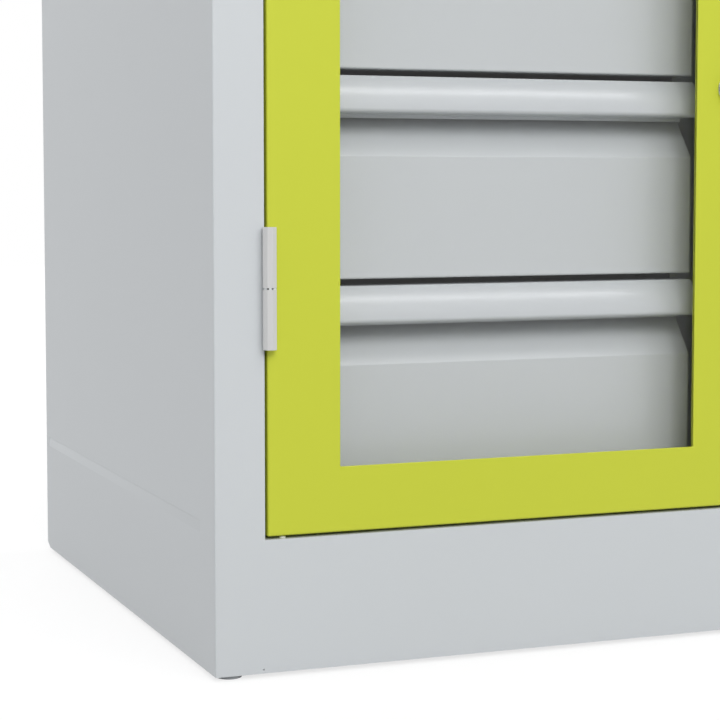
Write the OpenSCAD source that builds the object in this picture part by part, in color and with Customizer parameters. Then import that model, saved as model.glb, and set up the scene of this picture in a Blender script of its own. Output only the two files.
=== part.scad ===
// Reagent drawer cabinet: a low sheet-steel case with a framed window door on lift-off hinges and
// four full-width drawers on telescopic runners behind it.
//
// Places are written as [across, back, up]: across from the left side, back from the front face and
// up from the body's lower edge. in_cabinet() moves them to the part's own frame, whose origin lies
// on the floor under the middle of the whole part. The front faces -Y.

/* [Body] */
// Width of the body
body_w = 440; // [430:1:480]
// Depth of the body, front face to back face
body_d = 500; // [470:1:560]
// Thickness of the wall, top, floor and back sheets
wall_t = 1.2; // [1:0.1:1.5]
// Thickness of the front frame's sheet
frame_t = 1.5; // [1.2:0.1:1.8]
// Width of the front frame's stiles
stile_w = 34; // [30:0.5:37]
// Height of the front frame's bottom rail
rail_h = 88; // [60:1:89]
// Height of the front frame's header
header_h = 34; // [28:1:50]
// Depth of the folds that line the door opening
opening_fold = 23.5; // [23.5:0.1:25]
// Width of the door stop fold behind the latch side of the door
stop_w = 12; // [10:0.5:14]
// Width of the hidden folds along the walls' edges
edge_fold = 15; // [12:1:18]
// Width of the folds that stand on the glides
base_fold = 22; // [20:1:26]
// Outer radius of the front frame's upright corners
corner_r = 1.2; // [0.5:0.1:1.5]
// Distance from the side of the body to the drain hole near the front's lower edge
drain_across = 32.9; // [30:0.1:60]
// Height of the drain hole
drain_up = 2.5; // [2.2:0.1:6]
// Diameter of the drain hole
drain_d = 1; // [0.8:0.1:1.4]
// Height of the skirt folded down round the floor panel
floor_skirt = 20; // [12:1:30]
// Width of the stiffener under the top panel
hat_w = 60; // [30:1:100]
// Height of the stiffener under the top panel
hat_h = 10; // [6:0.5:16]
// Gap between the stiffener's ends and the walls' folds
hat_gap = 2; // [0.5:0.5:6]

/* [Side bead and rear corner] */
// Height of the pressed bead along each side wall
bead_h = 8; // [5:0.5:12]
// Height of the bead's lower edge above the floor panel
bead_over = 2; // [0.5:0.5:20]
// Depth to which the bead is pressed
bead_deep = 0.9; // [0.5:0.1:1]
// Height of each of the bead's sloped flanks
bead_flank = 2; // [1:0.1:2.4]
// Distance from the front face to the bead
bead_front = 32; // [28:1:60]
// Distance from the bead to the back face
bead_rear = 10; // [8:1:40]
// Length of the sloped cut under the back
rear_cut_run = 10; // [6:1:14]
// Height of the sloped cut under the back
rear_cut_rise = 4; // [3:0.5:6]

/* [Glides] */
// Diameter of each glide's foot
glide_d = 18; // [14:0.5:22]
// Height of the glides below the body
glide_h = 3; // [2:0.5:8]
// Distance from a side wall's face to a glide's centre
glide_side = 12.6; // [11.5:0.1:16]
// Distance from the front face to a front glide's centre
glide_front = 12; // [11:0.5:14]
// Diameter of the glides' stems
glide_stem_d = 8; // [6:0.5:9]
// Radial clearance of the stems in their holes
stem_gap = 0.05; // [0.02:0.01:0.1]
// Height of the stems above the foot plates
stem_over = 6; // [4:0.5:9]
// Height of the stems' tapered tips
stem_tip = 2; // [1:0.1:3]
// Bevel along the glides' lower edges
foot_bevel = 1; // [0.4:0.1:1.5]
// Side length of the foot plates
foot_plate_w = 34; // [28:1:40]
// Thickness of the foot plates
foot_plate_t = 2.5; // [2:0.1:4]

/* [Door] */
// Gap between the door and the opening, all round
door_gap = 2; // [2:0.1:3]
// Depth of the door pan
door_t = 20; // [16:0.5:20]
// Thickness of the door's sheet
door_sheet = 1.2; // [1:0.1:1.5]
// Width of the door's stiles beside the window
door_stile = 50.5; // [50:0.5:70]
// Height of the door's rails above and below the window
door_rail = 43.5; // [38:0.5:70]
// Width of the folds along the door's back edges
door_fold = 12; // [8:0.5:12.5]
// Thickness of the window pane
pane_t = 3; // [2:0.5:5]
// Overlap of the pane behind the door's sheet
pane_lap = 9; // [8:0.5:9.5]
// Thickness of the gasket between pane and sheet
gasket_t = 1; // [0.6:0.1:2]
// Width of the gasket
gasket_w = 7; // [5:0.5:8]
// Thickness of the clamp frame's sheet
clamp_t = 1.2; // [1:0.1:2]
// Width of the clamp frame's bars
clamp_w = 16; // [16:0.5:18]
// Distance from the window's edge to the clamp frame
clamp_in = 2; // [0.5:0.5:4]
// Gap between the pane's edge and the clamp frame's spacer wall
pane_edge_gap = 0.3; // [0.2:0.05:0.4]
// Diameter of the clamp frame's weld studs
stud_d = 3; // [2.5:0.1:3.5]
// Greatest distance between neighbouring studs
stud_pitch = 130; // [90:1:180]
// Radial gap round the studs in the clamp frame
stud_gap = 0.3; // [0.2:0.05:0.5]
// Diameter of the nuts on the studs
nut_d = 5.5; // [5:0.1:6.5]
// Height of the nuts
nut_h = 2.4; // [1.6:0.1:3]
// Reach of the studs past their nuts
stud_over = 1; // [0.5:0.1:2]
// Diameter of the door bumpers
bumper_d = 8; // [6:0.5:10]
// Gap between the bumpers and the closed door
bumper_gap = 0.2; // [0.1:0.05:0.4]
// Distance from the opening's lower or upper edge to a bumper
bumper_in = 71.4; // [40:0.1:140]
// Diameter of the slide button under the door
button_d = 4.4; // [3:0.1:6]
// Height of the slide button
button_h = 1.4; // [0.8:0.1:1.6]
// Bevel along the slide button's upper edge
button_bevel = 0.4; // [0.2:0.1:0.6]
// Distance from the side of the body to the slide button
button_in = 47.6; // [42:0.1:70]
// Distance from the front face to the slide button's centre
button_back = 5; // [4:0.5:12]

/* [Hinges] */
// Radius of the hinge knuckles
hinge_r = 4.7; // [4:0.1:5.5]
// Gap between the knuckles and the faces behind them
hinge_gap = 0.3; // [0.3:0.05:0.8]
// Length of one knuckle
knuckle_l = 39; // [25:1:50]
// Thickness of the washer between the knuckles
washer_t = 1; // [0.6:0.1:2]
// Step from the knuckles' round face in to the washer's
washer_step = 0.5; // [0.2:0.1:0.8]
// Thickness of the hinge leaves
leaf_t = 0.85; // [0.6:0.05:0.85]
// Reach of the leaves behind the front face
leaf_reach = 16; // [12:0.5:18]
// Diameter of the hinge pins
pin_d = 4; // [3:0.1:5]
// Radial clearance of the pins in the knuckles
pin_clear = 0.05; // [0.02:0.01:0.1]
// Length of the pins in the upper knuckles
pin_up = 31; // [20:1:34]
// Room above the pins in the upper knuckles
pin_end_gap = 3; // [1:0.5:5]
// Distance from the opening's lower or upper edge to the middle of the nearer hinge
hinge_in = 164; // [100:1:200]

/* [Latch] */
// Distance from the door's free edge to the latch's axis
latch_in = 23; // [22:0.5:24]
// Outer diameter of the latch housing
housing_d = 17; // [15:0.5:18]
// Thickness of the housing's flange on the door's face
flange_t = 1.5; // [1:0.1:2]
// Reach of the housing behind the opening's folds
housing_over = 0.3; // [0.2:0.05:1]
// Height of the nut on the housing
latch_nut_h = 4; // [3:0.5:6]
// Wall of the nut round the housing
latch_nut_wall = 1; // [1:0.1:2]
// Diameter of the latch shaft
shaft_d = 9; // [7:0.5:10]
// Radial clearance of the shaft in its housing
shaft_clear = 0.1; // [0.05:0.01:0.1]
// Diameter of the latch knob
knob_d = 22; // [18:0.5:26]
// Thickness of the knob's disc
knob_t = 3; // [2:0.5:3.5]
// Gap between the knob and the housing's flange
knob_gap = 0.2; // [0.1:0.05:0.4]
// Height of the finger bar on the knob
bar_h = 4; // [3:0.5:4.5]
// Width of the finger bar
bar_w = 6; // [4:0.5:8]
// Length of the cam from the latch's axis
cam_reach = 21.5; // [19:0.5:22]
// Thickness of the cam
cam_t = 2; // [1.5:0.1:2.5]
// Gap between the housing's end and the cam
cam_gap = 0.2; // [0.1:0.05:0.4]
// Wall of the cam's round head outside the shaft's diameter
cam_wall = 1.5; // [1:0.1:2]
// Diameter of the cam's screw
screw_d = 4; // [3:0.1:5]
// Radial gap of the screw in the shaft
screw_gap = 0.05; // [0.02:0.01:0.1]
// Length of the screw inside the shaft
screw_l = 7; // [5:0.5:10]
// Room past the screw's end in the shaft
screw_end_gap = 1; // [0.5:0.5:2]
// Diameter of the screw's head
screw_head_d = 7; // [6:0.5:9]
// Height of the screw's head
screw_head_h = 1.5; // [1:0.1:2]

/* [Drawers] */
// Height from one drawer to the next
drawer_pitch = 142; // [130:1:170]
// Gap between a drawer and the one above
drawer_split = 4.6; // [3:0.1:8]
// Distance from the front face to the drawers' front plane
drawer_back = 40; // [40:0.5:50]
// Room between the opening's lower edge and the bottom drawer
base_room = 24.6; // [10:0.1:40]
// Room between the top drawer's slot and the opening's upper edge
head_room = 2.4; // [2:0.1:30]
// Gap between a drawer front's ends and the faces that carry the runners
front_side_gap = 0.5; // [0.3:0.1:6]
// Thickness of the drawer fronts' sheet
front_t = 1.2; // [1:0.1:1.6]
// Distance from the drawers' front plane back to the flat lower face
face_in = 1.5; // [0:0.1:4]
// Distance from the drawers' front plane back to the upright behind the grip
upright_in = 22; // [20:0.5:26]
// Height from a drawer's top down to the start of the scoop
scoop_top = 27; // [27:0.5:32]
// Height from a drawer's top down to the end of the scoop
scoop_end = 54; // [48:0.5:70]
// Thickness of the trays' sheet
tray_t = 1; // [0.8:0.1:1.5]
// Height of the trays' sides
tray_h = 94; // [85:1:100]
// Height of the trays' bottoms above the drawers' lower edges
tray_up = 8; // [4:0.5:12]
// Width of the rolled rims along the trays' sides
rim_w = 7; // [4:0.5:9]
// Height of the rims
rim_h = 5; // [3:0.5:8]
// Distance from the trays' fronts to their rims
rim_start = 20; // [5:1:40]
// Reach of the trays behind the runners
tray_past = 2; // [1:0.5:6]
// Thickness of the liners
liner_t = 2; // [1:0.5:4]
// Height of the liners' raised edges
liner_rim = 1; // [0.5:0.1:2]
// Width of the liners' raised edges
liner_edge = 3; // [2:0.5:6]
// Gap between a liner and the tray's walls
liner_gap = 1; // [0.5:0.1:2]

/* [Grips] */
// Wall thickness of the grip profile
grip_t = 1.8; // [1.2:0.1:2]
// Overhang of the grip in front of the drawers' front plane
grip_out = 12; // [8:0.5:12.5]
// Height of the grip's curved face
grip_h = 22; // [18:0.5:22.5]
// Radius of the grip's curved face
grip_r = 55; // [40:1:90]
// Radius of the grip's lower nose
nose_r = 3; // [2.5:0.1:3.2]
// Distance from the drawers' front plane back to the grip's lip
lip_in = 14; // [10:0.5:16]
// Height of the lip below the grip's underside
lip_h = 2.7; // [1.5:0.1:3]
// Length of the leg that clips over the front's sheet
leg_h = 14; // [8:1:20]
// Gap between the leg and the tray's front wall below it
leg_gap = 1; // [0.5:0.5:5]
// Thickness of the caps on the grip's ends
cap_t = 2; // [1.5:0.1:4]
// Length of the caps' plugs inside the grip
cap_plug = 8; // [4:0.5:15]
// Gap between a cap's plug and the grip around it
cap_fit = 0.2; // [0.1:0.05:0.4]

/* [Runners] */
// Distance from the body's side to the face that carries the runners
post_w = 66; // [64:0.5:74]
// Distance from the runners' front ends to the front posts
post_step = 4; // [0:0.5:20]
// Width of the runner posts, front to back
post_run = 40; // [30:1:60]
// Thickness of the posts' sheet
post_t = 1.5; // [1.2:0.1:2]
// Width of the posts' edge lips
post_lip = 12; // [8:1:18]
// Diameter of the holes in the posts
post_hole_d = 6; // [4:0.5:8]
// Height of the lowest of a drawer's holes above the drawer's lower edge
post_hole_low = 7.1; // [4:0.1:20]
// Thickness of a whole runner
runner_w = 12.7; // [12.7:0.1:14]
// Height of the outer runner members
runner_h = 45; // [45:0.5:50]
// Thickness of the runner members
member_t = 1.3; // [1:0.1:1.4]
// Depth of the lips along the runner members' edges
lip_deep = 4.5; // [4:0.1:5]
// Running gap between neighbouring runner members
member_gap = 0.6; // [0.4:0.1:0.8]
// Distance from the outer members' edges to the trays' sides
outer_in = 3.2; // [3:0.1:4]
// Gap between the middle members' webs and the outer members' lips
web_gap = 1.5; // [1:0.1:1.8]
// Step between the middle members' two pairs of flanges
flange_step = 1.6; // [1:0.1:2.4]
// Height of the runners' middle line above the drawers' lower edges
runner_up = 52; // [45:1:62]
// Distance from the drawer fronts' backs to the runners
runner_front_gap = 2.8; // [2:0.1:8]
// Room between the runners and the back face
runner_rear_room = 34; // [20:1:60]

/* [Hidden] */
$fn = 64;

DRAWERS = [1, 2, 3, 4];
HOLES_PER_DRAWER = 4;
SIDES = ["left", "right"];
ROOT_NODES = [
    "front_frame", "left_side_wall", "right_side_wall", "back_panel", "top_panel", "floor_panel",
    "left_runner_posts", "right_runner_posts", "foot_plates", "corner_glides", "door_slide_button",
    "door_bumpers", "lower_hinge_body_leaf", "upper_hinge_body_leaf", "hinge_pins", "hinge_washers"
];
DOOR_NODES = [
    "door_frame", "window_pane", "pane_gasket", "pane_clamp_frame", "clamp_studs",
    "lower_hinge_door_leaf", "upper_hinge_door_leaf", "latch_housing", "latch_nut", "latch_knob",
    "latch_cam", "cam_screw"
];
DRAWER_PARTS = [
    "front", "grip", "grip_caps", "tray", "liner", "runner_outer", "runner_middle", "runner_inner"
];

body_grey = [0.80, 0.81, 0.82];
drawer_grey = [0.75, 0.76, 0.77];
grip_grey = [0.84, 0.84, 0.85];
lime = [0.76, 0.80, 0.26];
hinge_grey = [0.80, 0.80, 0.80];
zinc = [0.66, 0.67, 0.68];
dark_rubber = [0.15, 0.15, 0.16];
pale_plastic = [0.88, 0.88, 0.86];
clear_pane = [0.85, 0.90, 0.92, 0.35];

// Cuts reach this far past the faces that they open
cut = 1;

// Straight pieces that stand for a grip's curved face and for its nose
face_steps = 12;
nose_steps = 6;

drawer_count = len(DRAWERS);
opening_w = body_w - 2 * stile_w;
opening_h = base_room + drawer_count * drawer_pitch + head_room;
body_h = rail_h + opening_h + header_h;
wall_top = body_h - wall_t;
base_t = max(frame_t, wall_t);

hinge_proud = 2 * hinge_r + hinge_gap;
front_y = (hinge_proud - body_d) / 2;
hinge_across = stile_w + door_gap;
hinge_back = -(hinge_r + hinge_gap);
hinge_ups = [rail_h + hinge_in, rail_h + opening_h - hinge_in];

door_left = stile_w + door_gap;
door_low = rail_h + door_gap;
door_w = opening_w - 2 * door_gap;
door_h = opening_h - 2 * door_gap;
window_w = door_w - 2 * door_stile;
window_h = door_h - 2 * door_rail;
pane_back = door_sheet + gasket_t;
clamp_back = pane_back + pane_t;
stud_out = (pane_lap + clamp_w) / 2;
stop_back = opening_fold - frame_t;
latch_across = door_left + door_w - latch_in;
latch_up = rail_h + opening_h / 2;
housing_end = opening_fold + housing_over;
cam_back = housing_end + cam_gap;

drawer_h = drawer_pitch - drawer_split;
drawer_left = post_w + front_side_gap;
drawer_w = body_w - 2 * drawer_left;
tray_front = drawer_back + upright_in + front_t;
tray_left = post_w + runner_w;
tray_w = body_w - 2 * tray_left;
runner_front = tray_front + runner_front_gap;
runner_end = body_d - runner_rear_room;
runner_l = runner_end - runner_front;
tray_l = runner_end + tray_past - tray_front;
post_front = runner_front + post_step;
post_foot = wall_t + bead_deep;
post_top = body_h - 2 * wall_t;

// Window's lower left corner and size, as [across, up]
window_at = [door_left + door_stile, door_low + door_rail];
window = [window_w, window_h];

// Where the runner's nested flanges end, counted in from the post
outer_edge = runner_w - outer_in;
outer_half = runner_h / 2;
middle_edge = runner_w - member_t - member_gap;
middle_web = outer_edge - 2 * member_t - web_gap;
middle_half = outer_half - member_t - member_gap;
hook_half = middle_half - member_t - flange_step;
inner_half = hook_half - member_t - member_gap;

// ---- Placing ----

module in_cabinet() {
    translate([-body_w / 2, front_y, glide_h]) children();
}

// Turns a left-hand piece into its right-hand mirror image
module on_side(side) {
    if (side == "right") translate([body_w, 0, 0]) mirror([1, 0, 0]) children();
    else children();
}

// Draws its child on the left and mirrored on the right
module on_both_sides() {
    for (side = SIDES) on_side(side) children();
}

// Extrudes a section drawn as [back, up] across the cabinet
module across(from, width) {
    translate([from, 0, 0]) rotate([90, 0, 90]) linear_extrude(width) children();
}

// Box from its lowest corner and size
module box(at, size) {
    translate(at) cube(size);
}

// Rectangular ring in the plane of the front, around an inner rectangle
module ring(inner_at, inner_size, bar, back, depth) {
    difference() {
        box([inner_at[0] - bar, back, inner_at[1] - bar],
            [inner_size[0] + 2 * bar, depth, inner_size[1] + 2 * bar]);
        box([inner_at[0], back - cut, inner_at[1]], [inner_size[0], depth + 2 * cut, inner_size[1]]);
    }
}

// Round bar that runs from front to back
module bar_back(across_at, up_at, back, length, diameter) {
    translate([across_at, back, up_at]) rotate([-90, 0, 0]) cylinder(d = diameter, h = length);
}

// ---- Body ----

// What a rounded corner takes off a square one at the origin
module corner_waste(r) {
    difference() {
        translate([-cut, -cut]) square(r + cut);
        translate([r, r]) circle(r);
    }
}

// Front plate in plan, with its two upright front corners rounded
module front_plate_plan() {
    r = min(corner_r, frame_t);
    difference() {
        square([body_w, frame_t]);
        corner_waste(r);
        translate([body_w, 0]) mirror([1, 0]) corner_waste(r);
    }
}

module front_frame() color(body_grey) in_cabinet() {
    opening_at = [stile_w, rail_h];
    opening = [opening_w, opening_h];
    difference() {
        union() {
            linear_extrude(body_h) front_plate_plan();
            ring(opening_at, opening, frame_t, 0, opening_fold);
            on_both_sides() box([wall_t, 0, base_t], [frame_t, frame_t + edge_fold, wall_top - 2 * base_t]);
            box([wall_t, 0, 0], [body_w - 2 * wall_t, frame_t + base_fold, frame_t]);
            box([edge_fold, 0, wall_top - frame_t], [body_w - 2 * edge_fold, frame_t + edge_fold, frame_t]);
        }
        box([stile_w, -cut, rail_h], [opening_w, opening_fold + 2 * cut, opening_h]);
        front_glide_holes();
        bar_back(drain_across, drain_up, -cut, frame_t + 2 * cut, drain_d);
    }
    box([body_w - stile_w - stop_w, stop_back, rail_h], [stop_w, frame_t, opening_h]);
}

module front_glide_holes() {
    on_both_sides() translate([glide_side, glide_front, -cut])
        cylinder(d = glide_stem_d, h = base_t + 2 * cut);
}

module side_wall(side) color(body_grey) in_cabinet() on_side(side) {
    bead_l = body_d - bead_front - bead_rear;
    bead_up = rail_h + bead_over;
    difference() {
        union() {
            box([0, frame_t, 0], [wall_t, body_d - frame_t - wall_t, wall_top]);
            box([0, base_fold + frame_t, 0],
                [edge_fold, body_d - 2 * base_fold - rear_cut_run - frame_t, wall_t]);
            box([0, body_d - 2 * wall_t, edge_fold], [edge_fold, wall_t, wall_top - edge_fold]);
            box([0, frame_t, wall_top - wall_t], [edge_fold, body_d - frame_t - wall_t, wall_t]);
            box([0, bead_front, bead_up], [wall_t + bead_deep, bead_l, bead_h]);
        }
        translate([0, bead_front + wall_t, bead_up]) pressed_bead(bead_l - 2 * wall_t);
        rear_corner_cut();
    }
}

// Trough pressed into the side wall, with sloped upper and lower flanks
module pressed_bead(length) {
    rotate([-90, 0, 0]) mirror([0, 1, 0]) linear_extrude(length)
        polygon([[-cut, 0], [0, 0], [bead_deep, bead_flank], [bead_deep, bead_h - bead_flank], [0, bead_h],
                 [-cut, bead_h]]);
}

module rear_corner_cut() {
    across(-cut, edge_fold + 2 * cut)
        polygon([[body_d - rear_cut_run, 0], [body_d, rear_cut_rise], [body_d + cut, rear_cut_rise],
                 [body_d + cut, -cut], [body_d - rear_cut_run, -cut]]);
}

module back_panel() color(body_grey) in_cabinet() {
    slope = rear_cut_rise / rear_cut_run;
    lift = wall_t * sqrt(1 + slope * slope);
    fold_back = body_d - rear_cut_run;
    difference() {
        across(0, body_w)
            polygon([[body_d, wall_top], [body_d, rear_cut_rise], [fold_back, 0],
                     [fold_back - base_fold, 0], [fold_back - base_fold, wall_t],
                     [fold_back - (lift - wall_t) / slope, wall_t],
                     [body_d - wall_t, (rear_cut_run - wall_t) * slope + lift],
                     [body_d - wall_t, wall_top]]);
        on_both_sides() box([-cut, fold_back - base_fold - cut, -cut],
                            [wall_t + cut, rear_cut_run + base_fold + cut - wall_t, wall_top]);
        rear_glide_holes();
    }
}

module rear_glide_holes() {
    on_both_sides() translate([glide_side, glide_rear(), -cut])
        cylinder(d = glide_stem_d, h = base_t + 2 * cut);
}

// Distance from the front face to a rear glide's centre
function glide_rear() = body_d - rear_cut_run - base_fold / 2;

module top_panel() color(body_grey) in_cabinet() {
    hat_at = [edge_fold + hat_gap, (body_d - hat_w) / 2, wall_top - hat_h];
    box([0, frame_t, wall_top], [body_w, body_d - frame_t, wall_t]);
    difference() {
        box(hat_at, [body_w - 2 * hat_at[0], hat_w, hat_h]);
        box(hat_at + [-cut, wall_t, wall_t],
            [body_w, hat_w - 2 * wall_t, hat_h - wall_t]);
    }
}

module floor_panel() color(body_grey) in_cabinet() {
    depth = body_d - 2 * wall_t - opening_fold;
    at = [wall_t, opening_fold, rail_h - wall_t];
    size = [body_w - 2 * wall_t, depth, wall_t];
    box(at, size);
    for (back = [at[1], at[1] + depth - wall_t])
        box([at[0], back, rail_h - floor_skirt], [size[0], wall_t, floor_skirt]);
    on_both_sides() box([at[0], at[1], rail_h - floor_skirt], [wall_t, depth, floor_skirt]);
}

// One upright channel, open towards the side wall, with a row of holes in its web
module runner_post(back) {
    height = post_top - rail_h;
    difference() {
        box([post_foot, back, rail_h], [post_w - post_foot, post_run, height]);
        box([post_foot + post_t, back + post_t, rail_h - cut],
            [post_w - post_foot - 2 * post_t, post_run - 2 * post_t, height + 2 * cut]);
        box([post_foot - cut, back + post_lip, rail_h - cut],
            [post_t + 2 * cut, post_run - 2 * post_lip, height + 2 * cut]);
        for (n = DRAWERS, step = [0:HOLES_PER_DRAWER - 1])
            translate([post_w - post_t - cut, back + post_run / 2,
                       slot_up(n) + post_hole_low + step * drawer_pitch / HOLES_PER_DRAWER])
            rotate([0, 90, 0]) cylinder(d = post_hole_d, h = post_t + 2 * cut);
    }
}

module runner_posts(side) color(zinc) in_cabinet() on_side(side) {
    runner_post(post_front);
    runner_post(runner_end - post_run);
}

module foot_plates() color(zinc) in_cabinet() {
    plate_in = wall_t + frame_t;
    for (rear = [false, true]) on_both_sides() {
        back = rear ? body_d - rear_cut_run - foot_plate_w : plate_in;
        centre = rear ? glide_rear() : glide_front;
        difference() {
            box([plate_in, back, base_t], [foot_plate_w, foot_plate_w, foot_plate_t]);
            translate([glide_side, centre, 0]) cylinder(d = glide_stem_d, h = base_t + foot_plate_t + cut);
        }
    }
}

// Round foot with a rounded lower edge and a stem with a tapered tip
module corner_glide() {
    stem_h = base_t + foot_plate_t + stem_over;
    foot_r = glide_d / 2;
    stem_r = glide_stem_d / 2 - stem_gap;
    rotate_extrude()
        polygon([[0, -glide_h], [foot_r - foot_bevel, -glide_h], [foot_r, -glide_h + foot_bevel],
                 [foot_r, 0], [stem_r, 0], [stem_r, stem_h - stem_tip], [stem_r / 2, stem_h],
                 [0, stem_h]]);
}

module corner_glides() color(hinge_grey) in_cabinet() on_both_sides() {
    translate([glide_side, glide_front, 0]) corner_glide();
    translate([glide_side, glide_rear(), 0]) corner_glide();
}

module door_slide_button() color(pale_plastic) in_cabinet() {
    translate([button_in, button_back, rail_h]) rotate_extrude()
        polygon([[0, 0], [button_d / 2, 0], [button_d / 2, button_h - button_bevel],
                 [button_d / 2 - button_bevel, button_h], [0, button_h]]);
}

module door_bumpers() color(dark_rubber) in_cabinet() {
    bumper_h = stop_back - door_t - bumper_gap;
    for (up = [rail_h + bumper_in, rail_h + opening_h - bumper_in])
        bar_back(body_w - stile_w - stop_w / 2, up, stop_back - bumper_h, bumper_h, bumper_d);
}

// ---- Hinges ----

// Knuckle with its leaf: the leaf lies in the door gap, flat against the piece that it is fixed to
module hinge_half(leaf_across, low, bore_l) {
    difference() {
        union() {
            translate([hinge_across, hinge_back, low]) cylinder(r = hinge_r, h = knuckle_l);
            box([leaf_across, hinge_back, low], [leaf_t, leaf_reach - hinge_back, knuckle_l]);
        }
        translate([hinge_across, hinge_back, low - cut])
            cylinder(d = pin_d + 2 * pin_clear, h = bore_l + cut);
    }
}

module hinge_body_leaf(i) color(hinge_grey) in_cabinet() {
    hinge_half(stile_w, hinge_ups[i] - washer_t / 2 - knuckle_l, knuckle_l + cut);
}

module hinge_door_leaf(i) color(hinge_grey) in_cabinet() {
    hinge_half(door_left - leaf_t, hinge_ups[i] + washer_t / 2, pin_up + pin_end_gap);
}

module hinge_pins() color(zinc) in_cabinet() {
    for (up = hinge_ups) translate([hinge_across, hinge_back, up - knuckle_l])
        cylinder(d = pin_d, h = knuckle_l + pin_up);
}

module hinge_washers() color(dark_rubber) in_cabinet() {
    for (up = hinge_ups) translate([hinge_across, hinge_back, up - washer_t / 2]) difference() {
        cylinder(r = hinge_r - washer_step, h = washer_t);
        translate([0, 0, -cut]) cylinder(d = pin_d + 2 * pin_clear, h = washer_t + 2 * cut);
    }
}

// ---- Door ----

module door_frame() color(lime) in_cabinet() {
    door_at = [door_left, door_low];
    door = [door_w, door_h];
    pan_in = [door_sheet, door_sheet];
    difference() {
        box([door_left, 0, door_low], [door_w, door_sheet, door_h]);
        box([window_at[0], -cut, window_at[1]], [window_w, door_sheet + 2 * cut, window_h]);
        bar_back(latch_across, latch_up, -cut, door_sheet + 2 * cut, housing_d);
    }
    ring(door_at + pan_in, door - 2 * pan_in, door_sheet, 0, door_t);
    ring(door_at + [door_fold, door_fold], door - 2 * [door_fold, door_fold], door_fold - door_sheet / 2,
         door_t - door_sheet, door_sheet);
}

module window_pane() color(clear_pane) in_cabinet() {
    lap = [pane_lap, pane_lap];
    at = window_at - lap;
    box([at[0], pane_back, at[1]], [window_w + 2 * pane_lap, pane_t, window_h + 2 * pane_lap]);
}

module pane_gasket() color(dark_rubber) in_cabinet() {
    inset = pane_lap - gasket_w;
    ring(window_at - [inset, inset], window + 2 * [inset, inset], gasket_w, door_sheet, gasket_t);
}

// Flat bars over the pane's edge, with a spacer wall just outside the pane
module pane_clamp_frame() color(lime) in_cabinet() {
    spacer = pane_lap + pane_edge_gap;
    difference() {
        union() {
            ring(window_at - [clamp_in, clamp_in], window + 2 * [clamp_in, clamp_in], clamp_w - clamp_in,
                 clamp_back, clamp_t);
            ring(window_at - [spacer, spacer], window + 2 * [spacer, spacer], clamp_t, door_sheet,
                 clamp_back - door_sheet + clamp_t / 2);
        }
        for (at = stud_places()) bar_back(at[0], at[1], 0, door_t, stud_d + 2 * stud_gap);
    }
}

// Stud places along the four bars, evenly spaced and no further apart than stud_pitch
function stud_places() = let (
        low = window_at - [stud_out, stud_out],
        high = window_at + window + [stud_out, stud_out],
        n_up = ceil((high[1] - low[1]) / stud_pitch),
        n_across = ceil((high[0] - low[0]) / stud_pitch)
    ) concat(
        [for (x = [low[0], high[0]], i = [0:n_up]) [x, low[1] + (high[1] - low[1]) * i / n_up]],
        [for (up = [low[1], high[1]], i = [1:n_across - 1]) [low[0] + (high[0] - low[0]) * i / n_across, up]]
    );

module clamp_studs() color(zinc) in_cabinet() {
    stud_l = clamp_back + clamp_t + nut_h + stud_over - door_sheet;
    for (at = stud_places()) {
        bar_back(at[0], at[1], door_sheet, stud_l, stud_d);
        bar_back(at[0], at[1], clamp_back + clamp_t, nut_h, nut_d);
    }
}

// ---- Latch ----

module latch_housing() color(zinc) in_cabinet() difference() {
    union() {
        bar_back(latch_across, latch_up, -flange_t, flange_t, knob_d);
        bar_back(latch_across, latch_up, -flange_t / 2, housing_end + flange_t / 2, housing_d);
    }
    bar_back(latch_across, latch_up, -flange_t - cut, housing_end + flange_t + 2 * cut,
             shaft_d + 2 * shaft_clear);
}

module latch_nut() color(zinc) in_cabinet() difference() {
    bar_back(latch_across, latch_up, door_sheet, latch_nut_h, housing_d + 2 * latch_nut_wall);
    bar_back(latch_across, latch_up, door_sheet - cut, latch_nut_h + 2 * cut, housing_d);
}

module latch_knob() color(dark_rubber) in_cabinet() {
    disc_back = -flange_t - knob_gap - knob_t;
    difference() {
        union() {
            bar_back(latch_across, latch_up, disc_back, knob_t, knob_d);
            intersection() {
                box([latch_across - bar_w / 2, disc_back - bar_h, latch_up - knob_d / 2],
                    [bar_w, bar_h + knob_t / 2, knob_d]);
                bar_back(latch_across, latch_up, disc_back - bar_h, bar_h + knob_t, knob_d);
            }
            bar_back(latch_across, latch_up, disc_back + knob_t / 2, cam_back - disc_back - knob_t / 2,
                     shaft_d);
        }
        bar_back(latch_across, latch_up, cam_back - screw_l - screw_end_gap, screw_l + screw_end_gap + cut,
                 screw_d);
    }
}

// Flat cam with a round head, which stands upright when the door is free
module latch_cam() color(zinc) in_cabinet() difference() {
    union() {
        bar_back(latch_across, latch_up, cam_back, cam_t, shaft_d + 2 * cam_wall);
        box([latch_across - shaft_d / 2, cam_back, latch_up], [shaft_d, cam_t, cam_reach]);
    }
    bar_back(latch_across, latch_up, cam_back - cut, cam_t + 2 * cut, screw_d);
}

module cam_screw() color(zinc) in_cabinet() {
    bar_back(latch_across, latch_up, cam_back - screw_l, screw_l + cam_t, screw_d - 2 * screw_gap);
    bar_back(latch_across, latch_up, cam_back + cam_t, screw_head_h, screw_head_d);
}

// ---- Drawers ----

// Height of a drawer's lower edge above the body's lower edge
function slot_up(n) = rail_h + base_room + (n - 1) * drawer_pitch;

// Height of a drawer's top above the body's lower edge
function drawer_top(n) = slot_up(n) + drawer_h;

// A drawer section's point, from its distance behind the drawers' front plane and its depth below the top
function place(n, in, down) = [drawer_back + in, drawer_top(n) - down];

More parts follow.
